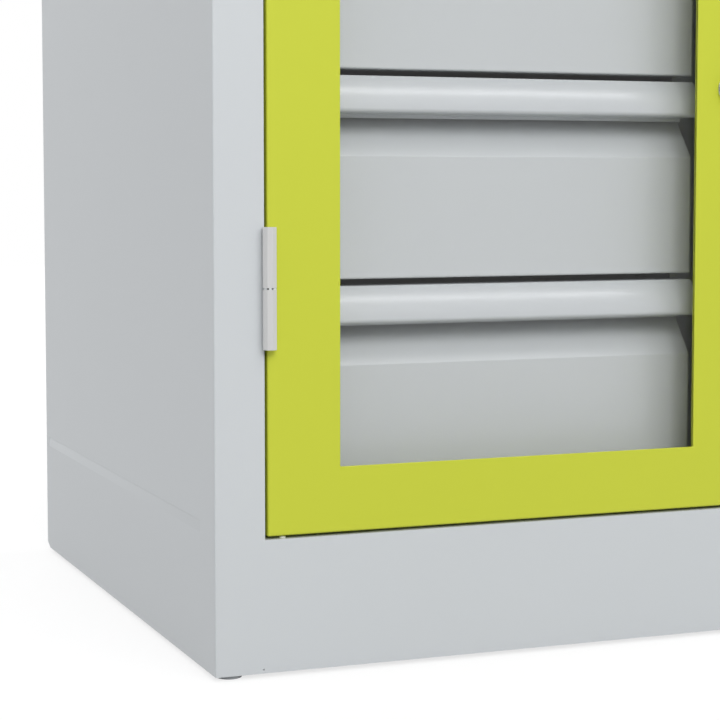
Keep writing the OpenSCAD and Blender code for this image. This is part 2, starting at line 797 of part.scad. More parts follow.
// Outer line of a drawer front, from the grip's seat down to the lower fold
function front_line(n, skin, lean) = [
    place(n, upright_in + skin, grip_t),
    place(n, upright_in + skin, scoop_top + lean),
    place(n, face_in + skin, scoop_end + lean),
    place(n, face_in + skin, drawer_h - skin)
];

function reversed(list) = [for (i = [len(list) - 1:-1:0]) list[i]];

module drawer_front(n) color(drawer_grey) in_cabinet() {
    scoop_angle = atan2(upright_in - face_in, scoop_end - scoop_top);
    outer = front_line(n, 0, 0);
    inner = front_line(n, front_t, front_t * tan(scoop_angle / 2));
    back_low = place(n, upright_in + front_t, drawer_h);
    back_fold = place(n, upright_in + front_t, drawer_h - front_t);
    across(drawer_left, drawer_w) polygon(concat(outer, [back_low, back_fold], reversed(inner)));
    back_top = place(n, upright_in + front_t, grip_t);
    on_both_sides() across(drawer_left, front_t) polygon(concat(outer, [back_low, back_top]));
}

// Points of an arc about a centre, between two angles
function arc(centre, radius, from, to, steps) = [
    for (i = [0:steps]) let (a = from + (to - from) * i / steps)
        centre + radius * [cos(a), sin(a)]
];

// Curved face and nose of the grip, as [out, down] from the drawer's front plane and top. With an
// inset, the same line that far inside the wall, from where it meets the flat top's inner face.
function grip_curve(inset) = let (
        chord = [grip_out, grip_h],
        half = norm(chord) / 2,
        away = sqrt(grip_r * grip_r - half * half) / norm(chord),
        centre = chord / 2 + away * [-grip_h, grip_out],
        from = asin((inset - centre[1]) / (grip_r - inset)),
        to = atan2(grip_h - centre[1], grip_out - centre[0]),
        nose = chord - nose_r * [cos(to), sin(to)]
    ) concat(
        arc(centre, grip_r - inset, from, to, face_steps),
        arc(nose, nose_r - inset, to, 90, nose_steps)
    );

// Depth of the grip's underside below the drawer's top
function grip_low() = let (curve = grip_curve(0)) curve[len(curve) - 1][1];

function placed_grip(n, points) = [for (p = points) place(n, -p[0], p[1])];

module drawer_grip(n) color(grip_grey) in_cabinet() {
    leg_in = upright_in + front_t;
    under = grip_low();
    profile = concat(
        [[-leg_in - grip_t, leg_h], [-leg_in - grip_t, 0]], grip_curve(0),
        [[-lip_in, under], [-lip_in, under + lip_h], [-lip_in - grip_t, under + lip_h],
         [-lip_in - grip_t, under - grip_t]],
        reversed(grip_curve(grip_t)), [[-leg_in, grip_t], [-leg_in, leg_h]]);
    across(drawer_left + cap_t, drawer_w - 2 * cap_t) polygon(placed_grip(n, profile));
}

// Flat ends that close the grip's profile, each with a block that fits inside it
module drawer_grip_caps(n) color(grip_grey) in_cabinet() {
    outline = concat([[-upright_in, 0]], grip_curve(0), [[-upright_in, grip_low()]]);
    plug_in = grip_t + cap_fit;
    plug = concat([[-lip_in, plug_in]], grip_curve(plug_in), [[-lip_in, grip_low() - plug_in]]);
    on_both_sides() {
        across(drawer_left, cap_t) polygon(placed_grip(n, outline));
        across(drawer_left + cap_t, cap_plug) polygon(placed_grip(n, plug));
    }
}

// Folded box with rims rolled outwards along its sides, and a tall front wall that carries the front
module drawer_tray(n) color(drawer_grey) in_cabinet() {
    low = slot_up(n) + tray_up;
    front_wall_top = drawer_top(n) - leg_h - leg_gap;
    rim_low = low + tray_h - rim_h;
    difference() {
        union() {
            box([tray_left, tray_front, low], [tray_w, tray_l, tray_h]);
            box([tray_left, tray_front, low], [tray_w, tray_t, front_wall_top - low]);
            on_both_sides() box([tray_left - rim_w, tray_front + rim_start, rim_low],
                                [rim_w + tray_t, tray_l - rim_start, rim_h]);
        }
        box([tray_left + tray_t, tray_front + tray_t, low + tray_t],
            [tray_w - 2 * tray_t, tray_l - 2 * tray_t, tray_h]);
        on_both_sides() box([tray_left - rim_w + tray_t, tray_front, rim_low - cut],
                            [rim_w - tray_t, tray_l + cut, rim_h + cut - tray_t]);
    }
}

module drawer_liner(n) color(dark_rubber) in_cabinet() {
    in = tray_t + liner_gap;
    at = [tray_left + in, tray_front + in, slot_up(n) + tray_up + tray_t];
    size = [tray_w - 2 * in, tray_l - 2 * in, liner_t + liner_rim];
    difference() {
        box(at, size);
        box(at + [liner_edge, liner_edge, liner_t], size - [2 * liner_edge, 2 * liner_edge, 0]);
    }
}

// ---- Runners ----

// Height of a drawer's runners above the body's lower edge
function runner_line(n) = slot_up(n) + runner_up;

// Extrudes a runner section, drawn as [in from the post, up from the runner's line], front to back
module runner_section(n) {
    translate([post_w, runner_front, runner_line(n)]) rotate([-90, 0, 0]) mirror([0, 1, 0])
        linear_extrude(runner_l) children();
}

// Rectangle and its mirror image below the runner's line
module above_and_below(at, size) {
    translate(at) square(size);
    mirror([0, 1]) translate(at) square(size);
}

// Channel open towards the tray, with lips turned in along its edges
module drawer_runner_outer(n) color(zinc) in_cabinet() on_both_sides() {
    runner_section(n) {
        translate([0, -outer_half]) square([member_t, runner_h]);
        above_and_below([0, outer_half - member_t], [outer_edge, member_t]);
        above_and_below([outer_edge - member_t, outer_half - lip_deep], [member_t, lip_deep]);
    }
}

// Web with narrow outward flanges that hook the outer member, and a channel that holds the inner one
module drawer_runner_middle(n) color(zinc) in_cabinet() on_both_sides() {
    flange_from = member_t + member_gap;
    flange_to = outer_edge - member_t - member_gap;
    runner_section(n) {
        translate([middle_web, -middle_half]) square([member_t, 2 * middle_half]);
        above_and_below([flange_from, middle_half - member_t], [flange_to - flange_from, member_t]);
        above_and_below([middle_web, hook_half - member_t], [middle_edge - middle_web, member_t]);
        above_and_below([middle_edge - member_t, hook_half - lip_deep], [member_t, lip_deep]);
    }
}

// Channel on the tray's side, with lips that hook behind the middle member's
module drawer_runner_inner(n) color(zinc) in_cabinet() on_both_sides() {
    lip_in = middle_edge - 2 * member_t - member_gap;
    channel_half = hook_half - lip_deep - member_gap;
    runner_section(n) {
        translate([runner_w - member_t, -channel_half]) square([member_t, 2 * channel_half]);
        above_and_below([lip_in, channel_half - member_t], [runner_w - lip_in, member_t]);
        above_and_below([lip_in, channel_half - member_t], [member_t, inner_half - channel_half + member_t]);
    }
}

// ---- Which nodes are drawn ----

front_frame();
side_wall("left");  // left_side_wall
side_wall("right");  // right_side_wall
back_panel();
top_panel();
floor_panel();
runner_posts("left");  // left_runner_posts
runner_posts("right");  // right_runner_posts
foot_plates();
corner_glides();
door_slide_button();
door_bumpers();
hinge_body_leaf(0);  // lower_hinge_body_leaf
hinge_body_leaf(1);  // upper_hinge_body_leaf
hinge_door_leaf(0);  // lower_hinge_door_leaf
hinge_door_leaf(1);  // upper_hinge_door_leaf
hinge_pins();
hinge_washers();
door_frame();
window_pane();
pane_gasket();
pane_clamp_frame();
clamp_studs();
latch_housing();
latch_nut();
latch_knob();
latch_cam();
cam_screw();
for (n = DRAWERS) {
    drawer_front(n);
    drawer_grip(n);
    drawer_grip_caps(n);
    drawer_tray(n);
    drawer_liner(n);
    drawer_runner_outer(n);
    drawer_runner_middle(n);
    drawer_runner_inner(n);
}
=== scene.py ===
"""Dresses and lights the reagent drawer cabinet.

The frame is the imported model's: the front faces -Y, +Z is up and the floor is at z = 0. Blender's
own lengths are in metres. The sizes of the sub-assemblies are in millimetres, and their places are
given across, back and up from the lower left front corner of the body; the Dresser turns them into
points of the frame.
"""

from __future__ import annotations

import logging
import math
from dataclasses import dataclass, field
from enum import Enum
from typing import Any, Optional, Sequence, Union

import bmesh
import bpy
from mathutils import Matrix, Vector

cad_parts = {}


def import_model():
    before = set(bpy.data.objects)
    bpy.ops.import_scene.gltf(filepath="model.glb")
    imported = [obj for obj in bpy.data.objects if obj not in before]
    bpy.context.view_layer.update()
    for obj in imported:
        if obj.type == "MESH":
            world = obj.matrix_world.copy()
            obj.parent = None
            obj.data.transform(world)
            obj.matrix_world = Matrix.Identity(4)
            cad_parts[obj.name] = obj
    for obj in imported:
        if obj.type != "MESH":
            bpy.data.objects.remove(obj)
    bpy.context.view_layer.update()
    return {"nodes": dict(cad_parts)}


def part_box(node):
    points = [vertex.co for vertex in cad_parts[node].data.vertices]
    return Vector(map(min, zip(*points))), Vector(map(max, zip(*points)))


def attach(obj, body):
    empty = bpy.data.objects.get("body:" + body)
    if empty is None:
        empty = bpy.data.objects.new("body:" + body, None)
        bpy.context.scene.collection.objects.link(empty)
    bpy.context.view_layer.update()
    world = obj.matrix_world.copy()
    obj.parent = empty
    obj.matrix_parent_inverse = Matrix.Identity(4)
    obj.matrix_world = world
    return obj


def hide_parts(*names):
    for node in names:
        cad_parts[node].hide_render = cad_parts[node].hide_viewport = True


log = logging.getLogger("cabinet")

MM = 0.001
SEAM = 0.02  # millimetres between sheets that touch
JOINED = 0.002 * MM  # corners nearer than this are one
SHARP = 28.0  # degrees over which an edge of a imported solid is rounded
BEVEL_WEIGHT = "bevel_weight_edge"
WHITE = (1.0, 1.0, 1.0, 1.0)
Colour = tuple[float, float, float]
Point = tuple[float, float]
Link = Union["Value", bpy.types.NodeSocket, float, Sequence[float]]


class Body(Enum):
    """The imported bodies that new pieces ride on."""

    CABINET = "cabinet"
    DOOR = "door"
    LATCH = "latch"
    DRAWER_1 = "drawer_1"
    DRAWER_2 = "drawer_2"
    DRAWER_3 = "drawer_3"
    DRAWER_4 = "drawer_4"


class Axis(Enum):
    """Directions that a turned piece can stand along."""

    UP = (0.0, 0.0, 1.0)
    FRONT = (0.0, -1.0, 0.0)
    BACK = (0.0, 1.0, 0.0)


# ---- Shader maths ----


@dataclass(frozen=True)
class Value:
    """A shader socket that takes part in sums as a number does."""

    tree: Tree
    socket: bpy.types.NodeSocket

    def _with(self, operation: str, *others: Link) -> Value:
        """The result of a Math node on this value and others."""
        links = dict(enumerate((self, *others)))
        return self.tree.value("ShaderNodeMath", {"operation": operation}, links)

    def __add__(self, other: Link) -> Value:
        """The sum with a number or value."""
        return self._with("ADD", other)

    __radd__ = __add__

    def __sub__(self, other: Link) -> Value:
        """This value less another."""
        return self._with("SUBTRACT", other)

    def __rsub__(self, other: Link) -> Value:
        """A number less this value."""
        return self * -1.0 + other

    def __mul__(self, other: Link) -> Value:
        """The product with a number or value."""
        return self._with("MULTIPLY", other)

    __rmul__ = __mul__

    def __truediv__(self, other: Link) -> Value:
        """This value over another."""
        return self._with("DIVIDE", other)

    def __pow__(self, power: Link) -> Value:
        """This value to a power."""
        return self._with("POWER", power)

    def most(self, other: Link) -> Value:
        """The larger of two values."""
        return self._with("MAXIMUM", other)

    def ramp(self, low: float, high: float) -> Value:
        """A smooth step from 0 where the value is low to 1 where it is high."""
        settings = {"interpolation_type": "SMOOTHSTEP"}
        return self.tree.value("ShaderNodeMapRange", settings, {0: self, 1: low, 2: high})


class Tree:
    """The node tree of a material or of the world."""

    def __init__(self, owner: Union[bpy.types.Material, bpy.types.World]) -> None:
        """Empties the tree of the material or world that is built.

        Args:
            owner: The material or world.
        """
        owner.use_nodes = True
        self.nodes = owner.node_tree.nodes
        self.links = owner.node_tree.links
        self.nodes.clear()

    def add(
        self, kind: str, settings: dict[str, Any], links: dict[Union[str, int], Link]
    ) -> bpy.types.Node:
        """Adds a node.

        Args:
            kind: The node's type name.
            settings: Properties, which are set first.
            links: A number, colour, value or socket for each input, by name or place.

        Returns:
            The node.
        """
        node = self.nodes.new(kind)
        for name, setting in settings.items():
            setattr(node, name, setting)
        for key, link in links.items():
            target = node.inputs[key]
            if isinstance(link, Value):
                self.links.new(link.socket, target)
            elif isinstance(link, bpy.types.NodeSocket):
                self.links.new(link, target)
            else:
                target.default_value = link
        return node

    def value(
        self,
        kind: str,
        settings: dict[str, Any],
        links: dict[Union[str, int], Link],
        output: Union[str, int] = 0,
    ) -> Value:
        """Adds a node as add does, and wraps the output of a name or place."""
        return Value(self, self.add(kind, settings, links).outputs[output])

    def place(self) -> Value:
        """The point that is shaded, in the part's frame."""
        return self.value("ShaderNodeTexCoord", {}, {}, "Object")

    def split(self, vector: Value) -> tuple[Value, Value, Value]:
        """The three parts of a vector."""
        parts = self.add("ShaderNodeSeparateXYZ", {}, {0: vector}).outputs
        return Value(self, parts[0]), Value(self, parts[1]), Value(self, parts[2])

    def stretch(self, vector: Value, by: Sequence[float]) -> Value:
        """A vector with each part multiplied by a number."""
        return self.value("ShaderNodeVectorMath", {"operation": "MULTIPLY"}, {0: vector, 1: by})

    def noise(self, at: Value, grain: float, detail: float = 2.0) -> Value:
        """Noise between 0 and 1, with features up to the size of the grain and finer layers."""
        links = {"Vector": at, "Scale": 1 / grain, "Detail": detail}
        return self.value("ShaderNodeTexNoise", {}, links)

    def mixed(self, share: Link, first: Link, second: Link) -> Value:
        """The first colour where the share is 0, and the second where it is 1."""
        links = {0: share, 6: first, 7: second}
        return self.value("ShaderNodeMix", {"data_type": "RGBA"}, links, 2)

    def bump(self, height: Value, depth: float) -> Value:
        """The normal of a relief whose height runs from 0 to 1 over a real depth in metres."""
        return self.value("ShaderNodeBump", {}, {"Height": height, "Distance": depth}, "Normal")

    def coat(
        self, colour: Link, roughness: Value, normal: Optional[Value], metallic: float = 0.0
    ) -> bpy.types.Node:
        """Adds a Principled shader.

        Args:
            colour: Its colour.
            roughness: Its roughness.
            normal: Its normal, where that isn't the surface's own.
            metallic: 1 for metal.

        Returns:
            The shader.
        """
        links = {"Base Color": colour, "Roughness": roughness, "Metallic": metallic}
        if normal:
            links["Normal"] = normal
        return self.add("ShaderNodeBsdfPrincipled", {}, links)

    def finish(self, surface: bpy.types.Node) -> None:
        """Ends the tree in a surface shader."""
        self.add("ShaderNodeOutputMaterial", {}, {"Surface": surface.outputs[0]})


def shade(colour: Colour, by: float) -> tuple[float, float, float, float]:
    """A linear colour made lighter or darker by a factor, with an alpha of 1."""
    return (*(min(1.0, part * by) for part in colour), 1.0)


def srgb(*screen: int) -> Colour:
    """The linear colour of red, green and blue values on a screen, from 0 to 255."""
    return tuple(((part / 255 + 0.055) / 1.055) ** 2.4 for part in screen)


# ---- Finishes ----


@dataclass(frozen=True)
class Finish:
    """What every finish has: a material name, a slot name, a linear colour and a roughness."""

    name: str
    slot: str
    colour: Colour
    roughness: float

    def make(self) -> bpy.types.Material:
        """Makes the finish's material.

        Returns:
            The material.
        """
        material = bpy.data.materials.new(self.name)
        tree = Tree(material)
        tree.finish(self.surface(tree))
        return material

    def surface(self, tree: Tree) -> bpy.types.Node:
        """The shader that the material ends in, with its nodes added to the tree."""
        raise NotImplementedError

    def varied(self, tree: Tree, share: Value, darker: float, lighter: float) -> Value:
        """The finish's colour, from darker where the share is 0 to lighter where it is 1."""
        return tree.mixed(share, shade(self.colour, darker), shade(self.colour, lighter))

    def dulled(self, *layers: tuple[Value, float]) -> Value:
        """The finish's roughness under layers of noise, each with how much it matters."""
        return sum(((noise - 0.5) * by for noise, by in layers), self.roughness)


@dataclass(frozen=True)
class Band:
    """The pressed band of a side wall, in the frame, and the painted sheen on it: how much lighter
    its rear end and darker its front end are painted.
    """

    front: float = -212 * MM
    rear: float = 244 * MM
    low: float = 93 * MM
    high: float = 101 * MM
    edge: float = 0.3 * MM
    front_painted_shade: float = 0.965
    rear_painted_highlight: float = 1.1

    def inside(self, deep: Value, up: Value) -> Value:
        """1 inside the band and 0 outside it.

        Args:
            deep: The distance back of the point that is shaded.
            up: Its height.

        Returns:
            The share of the band's painted sheen there.
        """
        rise = (up - self.low).ramp(0.0, self.edge) * (self.high - up).ramp(0.0, self.edge)
        run = (deep - self.front).ramp(0.0, self.edge) * (self.rear - deep).ramp(0.0, self.edge)
        return rise * run

    def rearward(self, deep: Value) -> Value:
        """0 at the band's front end and 1 at its rear end."""
        return (deep - self.front) / (self.rear - self.front)


@dataclass(frozen=True)
class PowderCoat(Finish):
    """Baked powder paint: faint orange peel, and a colour and gloss that drift a little."""

    peel: float = 1.6 * MM
    peel_depth: float = 0.012 * MM
    fleck: float = 0.04
    cloud: float = 160 * MM
    drift: float = 0.012
    gloss_drift: float = 0.05
    band: Optional[Band] = None

    def surface(self, tree: Tree) -> bpy.types.Node:
        """The paint, and the painted sheen along the band where the wall has one.

        Args:
            tree: The material's tree.

        Returns:
            The shader.
        """
        at = tree.place()
        broad = tree.noise(at, self.cloud, 1.0)
        peel = tree.noise(at, self.peel, 1.5)
        colour = self.varied(tree, broad, 1 - self.drift, 1 + self.drift)
        # The band's colour is a painted sheen: lighter towards its rear end and darker towards its
        # front, standing in for a reflection.
        if self.band:
            _, deep, up = tree.split(at)
            lights = self.band.front_painted_shade, self.band.rear_painted_highlight
            painted_sheen = self.varied(tree, self.band.rearward(deep), *lights)
            colour = tree.mixed(self.band.inside(deep, up), colour, painted_sheen)
        roughness = self.dulled((broad, self.gloss_drift), (peel, self.fleck))
        return tree.coat(colour, roughness, tree.bump(peel, self.peel_depth))


@dataclass(frozen=True)
class PlatedSteel(Finish):
    """Zinc-plated sheet with the fine lines of the rolling mill and a faint bluish cast."""

    lines: Sequence[float] = (1.0, 0.04, 1.0)
    line: float = 0.6 * MM
    line_depth: float = 0.004 * MM
    line_gloss: float = 0.16
    cloud: float = 25 * MM
    cloud_gloss: float = 0.1
    cast: Colour = (0.94, 0.98, 1.0)
    drift: float = 0.03

    def surface(self, tree: Tree) -> bpy.types.Node:
        """The plating, a little bluer and duller in patches.

        Args:
            tree: The material's tree.

        Returns:
            The shader.
        """
        at = tree.place()
        drawn = tree.noise(tree.stretch(at, self.lines), self.line, 3.0)
        cloud = tree.noise(at, self.cloud, 3.0)
        blue = tuple(part * by for part, by in zip(self.colour, self.cast))
        ends = shade(blue, 1 - self.drift), shade(self.colour, 1 + self.drift)
        colour = tree.mixed(cloud.ramp(0.35, 0.7), *ends)
        roughness = self.dulled((drawn, self.line_gloss), (cloud, self.cloud_gloss))
        return tree.coat(colour, roughness, tree.bump(drawn, self.line_depth), 1.0)


@dataclass(frozen=True)
class Moulded(Finish):
    """Moulded plastic or rubber with the fine grain of an eroded mould."""

    grain: float = 0.5 * MM
    grain_depth: float = 0.02 * MM
    grain_gloss: float = 0.12
    cloud: float = 12 * MM
    cloud_gloss: float = 0.06
    drift: float = 0.05

    def surface(self, tree: Tree) -> bpy.types.Node:
        """The plastic, lighter and darker in patches.

        Args:
            tree: The material's tree.

        Returns:
            The shader.
        """
        at = tree.place()
        grain = tree.noise(at, self.grain, 2.0)
        cloud = tree.noise(at, self.cloud, 2.0)
        colour = self.varied(tree, cloud, 1 - self.drift, 1 + self.drift)
        roughness = self.dulled((grain, self.grain_gloss), (cloud, self.cloud_gloss))
        return tree.coat(colour, roughness, tree.bump(grain, self.grain_depth))


@dataclass(frozen=True)
class Pane(Finish):
    """Clear sheet that passes nearly all light and mirrors a little of the room."""

    tint: Colour = (0.99, 0.99, 0.99)
    mirror: float = 0.015
    streak: float = 30 * MM
    streak_gloss: float = 0.02

    def surface(self, tree: Tree) -> bpy.types.Node:
        """A clear shader, with a mirroring one that grows as the view slants.

        Args:
            tree: The material's tree.

        Returns:
            The shader.
        """
        streaks = tree.noise(tree.stretch(tree.place(), (1.0, 1.0, 0.25)), self.streak, 2.0)
        clear = tree.add("ShaderNodeBsdfTransparent", {}, {"Color": (*self.tint, 1.0)})
        roughness = self.roughness + streaks * self.streak_gloss
        gloss = tree.coat(shade(self.colour, 1.0), roughness, None, 1.0)
        slant = tree.value("ShaderNodeLayerWeight", {}, {"Blend": 0.5}, "Facing")
        share = self.mirror + slant**5 * (1 - self.mirror)
        links = {0: share, 1: clear.outputs[0], 2: gloss.outputs[0]}
        return tree.add("ShaderNodeMixShader", {}, links)


GREY = srgb(203, 207, 210)
BODY_PAINT = PowderCoat("body_powder_coat", "body_paint", GREY, 0.46)
# The side walls' paint holds the painted sheen along their pressed bands.
SHEENED_WALL_PAINT = PowderCoat("wall_powder_coat_painted_sheen", "body_paint", GREY, 0.46, band=Band())
DOOR_PAINT = PowderCoat("door_powder_coat", "door_paint", srgb(196, 204, 53), 0.42)
# The drawer paint is a little darker than the body grey: painted shade for the light that the
# door's pane takes from the drawers.
SHADED_DRAWER_PAINT = PowderCoat("drawer_powder_coat_painted_shade", "drawer_paint", srgb(197, 201, 203), 0.36)
# The grip paint is matched to the drawer paint and, like it, darker than the body grey: painted
# shade for the light that the door's pane takes.
SHADED_GRIP_PAINT = PowderCoat(
    "grip_satin_paint_painted_shade", "grip_paint", srgb(197, 201, 204), 0.31, peel_depth=0.001 * MM, fleck=0.006
)
HINGE_PAINT = PowderCoat(
    "hinge_satin_paint", "hinge_paint", srgb(204, 204, 204), 0.38, peel_depth=0.006 * MM
)
ZINC = PlatedSteel("zinc_plated_steel", "zinc_steel", (0.62, 0.63, 0.65), 0.34)
BRIGHT_STEEL = PlatedSteel("bright_steel", "zinc_steel", (0.72, 0.72, 0.73), 0.2)
BLACK = (0.022, 0.022, 0.024)
RUBBER = Moulded("black_rubber", "black_rubber", BLACK, 0.72, 0.7 * MM, 0.04 * MM)
GLIDE_PLASTIC = Moulded("glide_plastic", "glide_plastic", srgb(176, 180, 184), 0.5)
BUTTON_PLASTIC = Moulded("button_plastic", "button_plastic", srgb(232, 232, 226), 0.38)
WASHER_PLASTIC = Moulded("washer_plastic", "hinge_paint", srgb(208, 213, 215), 0.42)
KNOB_BLACK = (0.016, 0.016, 0.018)
KNOB_PLASTIC = Moulded("knob_plastic", "knob_plastic", KNOB_BLACK, 0.46, 0.35 * MM, 0.03 * MM)
CLEAR = Pane("clear_pane", "clear_pane", (1.0, 1.0, 1.0), 0.03)


# ---- Outlines ----


def polar(reach: float, turn: float) -> Point:
    """The point at a distance from the middle, at an angle in radians."""
    return reach * math.cos(turn), reach * math.sin(turn)


def arc(centre: Point, radius: float, start: float, end: float, steps: int) -> list[Point]:
    """Points along an arc.

    Args:
        centre: The arc's centre.
        radius: Its radius.
        start: The angle of its first point, in degrees.
        end: The angle of its last point, in degrees.
        steps: Number of straight pieces.

    Returns:
        The points, both ends included.
    """
    angles = [math.radians(start + (end - start) * i / steps) for i in range(steps + 1)]
    return [(centre[0] + radius * math.cos(a), centre[1] + radius * math.sin(a)) for a in angles]


def filleted(corners: Sequence[tuple[float, float, float]], steps: int = 4) -> list[Point]:
    """Rounds the corners of an outline.

    Args:
        corners: Two coordinates and a radius for each corner, in order.
        steps: Number of straight pieces in each rounding.

    Returns:
        The rounded outline, with equally many points at every corner.
    """
    points = []
    for i, (first, second, radius) in enumerate(corners):
        here = Vector((first, second))
        before = (Vector(corners[i - 1][:2]) - here).normalized()
        after = (Vector(corners[(i + 1) % len(corners)][:2]) - here).normalized()
        half = before.angle(after) / 2
        centre = here + (before + after).normalized() * (radius / math.sin(half))
        arm = here + before * (radius / math.tan(half)) - centre
        turn = math.pi - 2 * half
        if before.cross(after) > 0:
            turn = -turn
        for k in range(steps + 1):
            spun = Matrix.Rotation(turn * k / steps, 2) @ arm
            points.append(tuple(centre + spun))
    return points


# ---- Meshes ----


class Shape:
    """A mesh that is built up from simple forms and then becomes a piece of the part."""

    def __init__(self) -> None:
        """Starts with an empty mesh."""
        self.mesh = bmesh.new()

    def loft(self, loops: Sequence[Sequence[Vector]], closed: bool = False) -> None:
        """Joins loops of equally many points with faces.

        Args:
            loops: The loops, in order.
            closed: True to join the last loop to the first, False to fill both.
        """
        rings = [[self.mesh.verts.new(point) for point in loop] for loop in loops]
        for first, second in zip(rings, rings[1:] + rings[:1] if closed else rings[1:]):
            for i in range(len(first)):
                j = (i + 1) % len(first)
                self.mesh.faces.new((first[i], first[j], second[j], second[i]))
        if not closed:
            self.mesh.faces.new(list(reversed(rings[0])))
            self.mesh.faces.new(rings[-1])

    def turned(
        self,
        profile: Sequence[Point],
        at: Vector,
        axis: Axis,
        sides: int = 48,
        waves: int = 0,
        wave_depth: float = 0.0,
        ring: bool = False,
    ) -> None:
        """Turns a profile of (radius, height) points, in millimetres, about an axis.

        Args:
            profile: The profile, from its foot to its top.
            at: The point with height 0.
            axis: The direction in which height grows.
            sides: Number of points round the axis.
            waves: Number of flutes cut into the widest points.
            wave_depth: Depth of the flutes, in millimetres.
            ring: True for a profile that closes on itself away from the axis.
        """
        spin = Vector((0.0, 0.0, 1.0)).rotation_difference(Vector(axis.value)).to_matrix()
        widest = max(radius for radius, _ in profile)
        loops = []
        for radius, height in profile:
            fluted = wave_depth if waves and radius > 0.9 * widest else 0.0
            loop = []
            for i in range(sides):
                turn = math.tau * i / sides
                reach = radius - fluted * (0.5 + 0.5 * math.cos(waves * turn))
                place = Vector((*polar(reach, turn), height))
                loop.append(at + spin @ place * MM)
            loops.append(loop)
        self.loft(loops, closed=ring)

    def prism(self, outline: Sequence[Vector], along: Vector) -> None:
        """Extrudes an outline along a vector."""
        self.loft([list(outline), [point + along for point in outline]])

    def block(self, low: Vector, high: Vector) -> None:
        """Adds a leaf of sheet between two corners."""
        corners = [(low.x, low.y), (high.x, low.y), (high.x, high.y), (low.x, high.y)]
        self.prism([Vector((x, y, low.z)) for x, y in corners], Vector((0.0, 0.0, high.z - low.z)))

    def pierce(self, at: Vector, radius: float, sides: int = 8) -> None:
        """Drills a round hole along Y through the two faces of a sheet.

        Args:
            at: The hole's centre.
            radius: Its radius, in metres.
            sides: Number of edges along each quarter of the hole.
        """
        half = radius * 1.25
        rims = []
        for depth in sorted({round(face.verts[0].co.y, 6) for face in self.around(at)}):
            for turn in range(4):
                way = Matrix.Rotation(math.tau * turn / 4, 3, "Y") @ Vector((1.0, 0.0, 0.0))
                found = self.around(at, depth)
                parts = found + [part for face in found for part in (*face.edges, *face.verts)]
                cut = {"plane_co": at + way * half, "plane_no": way}
                bmesh.ops.bisect_plane(self.mesh, geom=list(set(parts)), **cut)
            found = self.around(at, depth)
            square = sorted(found[0].verts, key=lambda v: math.atan2(v.co.z - at.z, v.co.x - at.x))
            bmesh.ops.delete(self.mesh, geom=found, context="FACES_ONLY")
            circle = []
            for i in range(4 * sides):
                turn = math.tau * i / (4 * sides) - math.pi * 0.75
                reach = Vector((radius * math.cos(turn), 0.0, radius * math.sin(turn)))
                circle.append(self.mesh.verts.new(Vector((at.x, square[0].co.y, at.z)) + reach))
            for side in range(4):
                bow = [circle[(side * sides + i) % len(circle)] for i in range(sides + 1)]
                self.mesh.faces.new((square[side], *bow, square[(side + 1) % 4]))
            rims.append(circle)
        for i in range(4 * sides):
            j = (i + 1) % (4 * sides)
            self.mesh.faces.new((rims[0][i], rims[0][j], rims[1][j], rims[1][i]))

    def around(self, at: Vector, depth: Optional[float] = None) -> list[bmesh.types.BMFace]:
        """The faces square to Y whose outline goes round a point.

        Args:
            at: The point.
            depth: Where the faces lie along Y; anywhere if it isn't given.

        Returns:
            The faces.
        """
        found = []
        for face in self.mesh.faces:
            xs, ys, zs = zip(*(vert.co for vert in face.verts))
            flat = max(ys) - min(ys) < 1e-6 and (depth is None or abs(ys[0] - depth) < 1e-5)
            if flat and min(xs) < at.x < max(xs) and min(zs) < at.z < max(zs):
                found.append(face)
        return found

    def finished(self, name: str, smooth: float) -> bpy.types.Mesh:
        """Joins the mesh's seams, turns its faces outward and marks its sharp edges.

        Args:
            name: The mesh's name.
            smooth: Angle in radians under which faces blend into each other.

        Returns:
            The mesh.
        """
        bmesh.ops.remove_doubles(self.mesh, verts=self.mesh.verts, dist=1e-7)
        bmesh.ops.recalc_face_normals(self.mesh, faces=self.mesh.faces)
        for face in self.mesh.faces:
            face.smooth = True
        for edge in self.mesh.edges:
            edge.smooth = len(edge.link_faces) != 2 or edge.calc_face_angle(0.0) < smooth
        data = bpy.data.meshes.new(name)
        self.mesh.to_mesh(data)
        self.mesh.free()
        return data


def placed(name: str, data: bpy.types.ID) -> bpy.types.Object:
    """Adds an object to the scene.

    Args:
        name: Its name.
        data: Its mesh, lamp or camera.

    Returns:
        The object.
    """
    made = bpy.data.objects.new(name, data)
    bpy.context.scene.collection.objects.link(made)
    return made


def round_edges(piece: bpy.types.Object, width: float, limit: float) -> None:
    """Rounds a piece's sharp edges with modifiers.

    Args:
        piece: The piece.
        width: Width of the rounding.
        limit: Angle in radians over which an edge counts as sharp.
    """
    bevel = piece.modifiers.new("rounded edges", "BEVEL")
    bevel.width = width
    bevel.segments = 3
    bevel.limit_method = "WEIGHT" if BEVEL_WEIGHT in piece.data.attributes else "ANGLE"
    bevel.angle_limit = limit
    bevel.miter_outer = "MITER_ARC"
    smooth = piece.modifiers.new("smooth faces", "NODES")
    smooth.node_group = smoothing_group()
    even_shading(piece)


def even_shading(piece: bpy.types.Object) -> None:
    """Keeps a piece's large faces evenly shaded between its roundings.

    Args:
        piece: The piece.
    """
    normals = piece.modifiers.new("even shading", "WEIGHTED_NORMAL")
    normals.weight = 100
    normals.keep_sharp = True


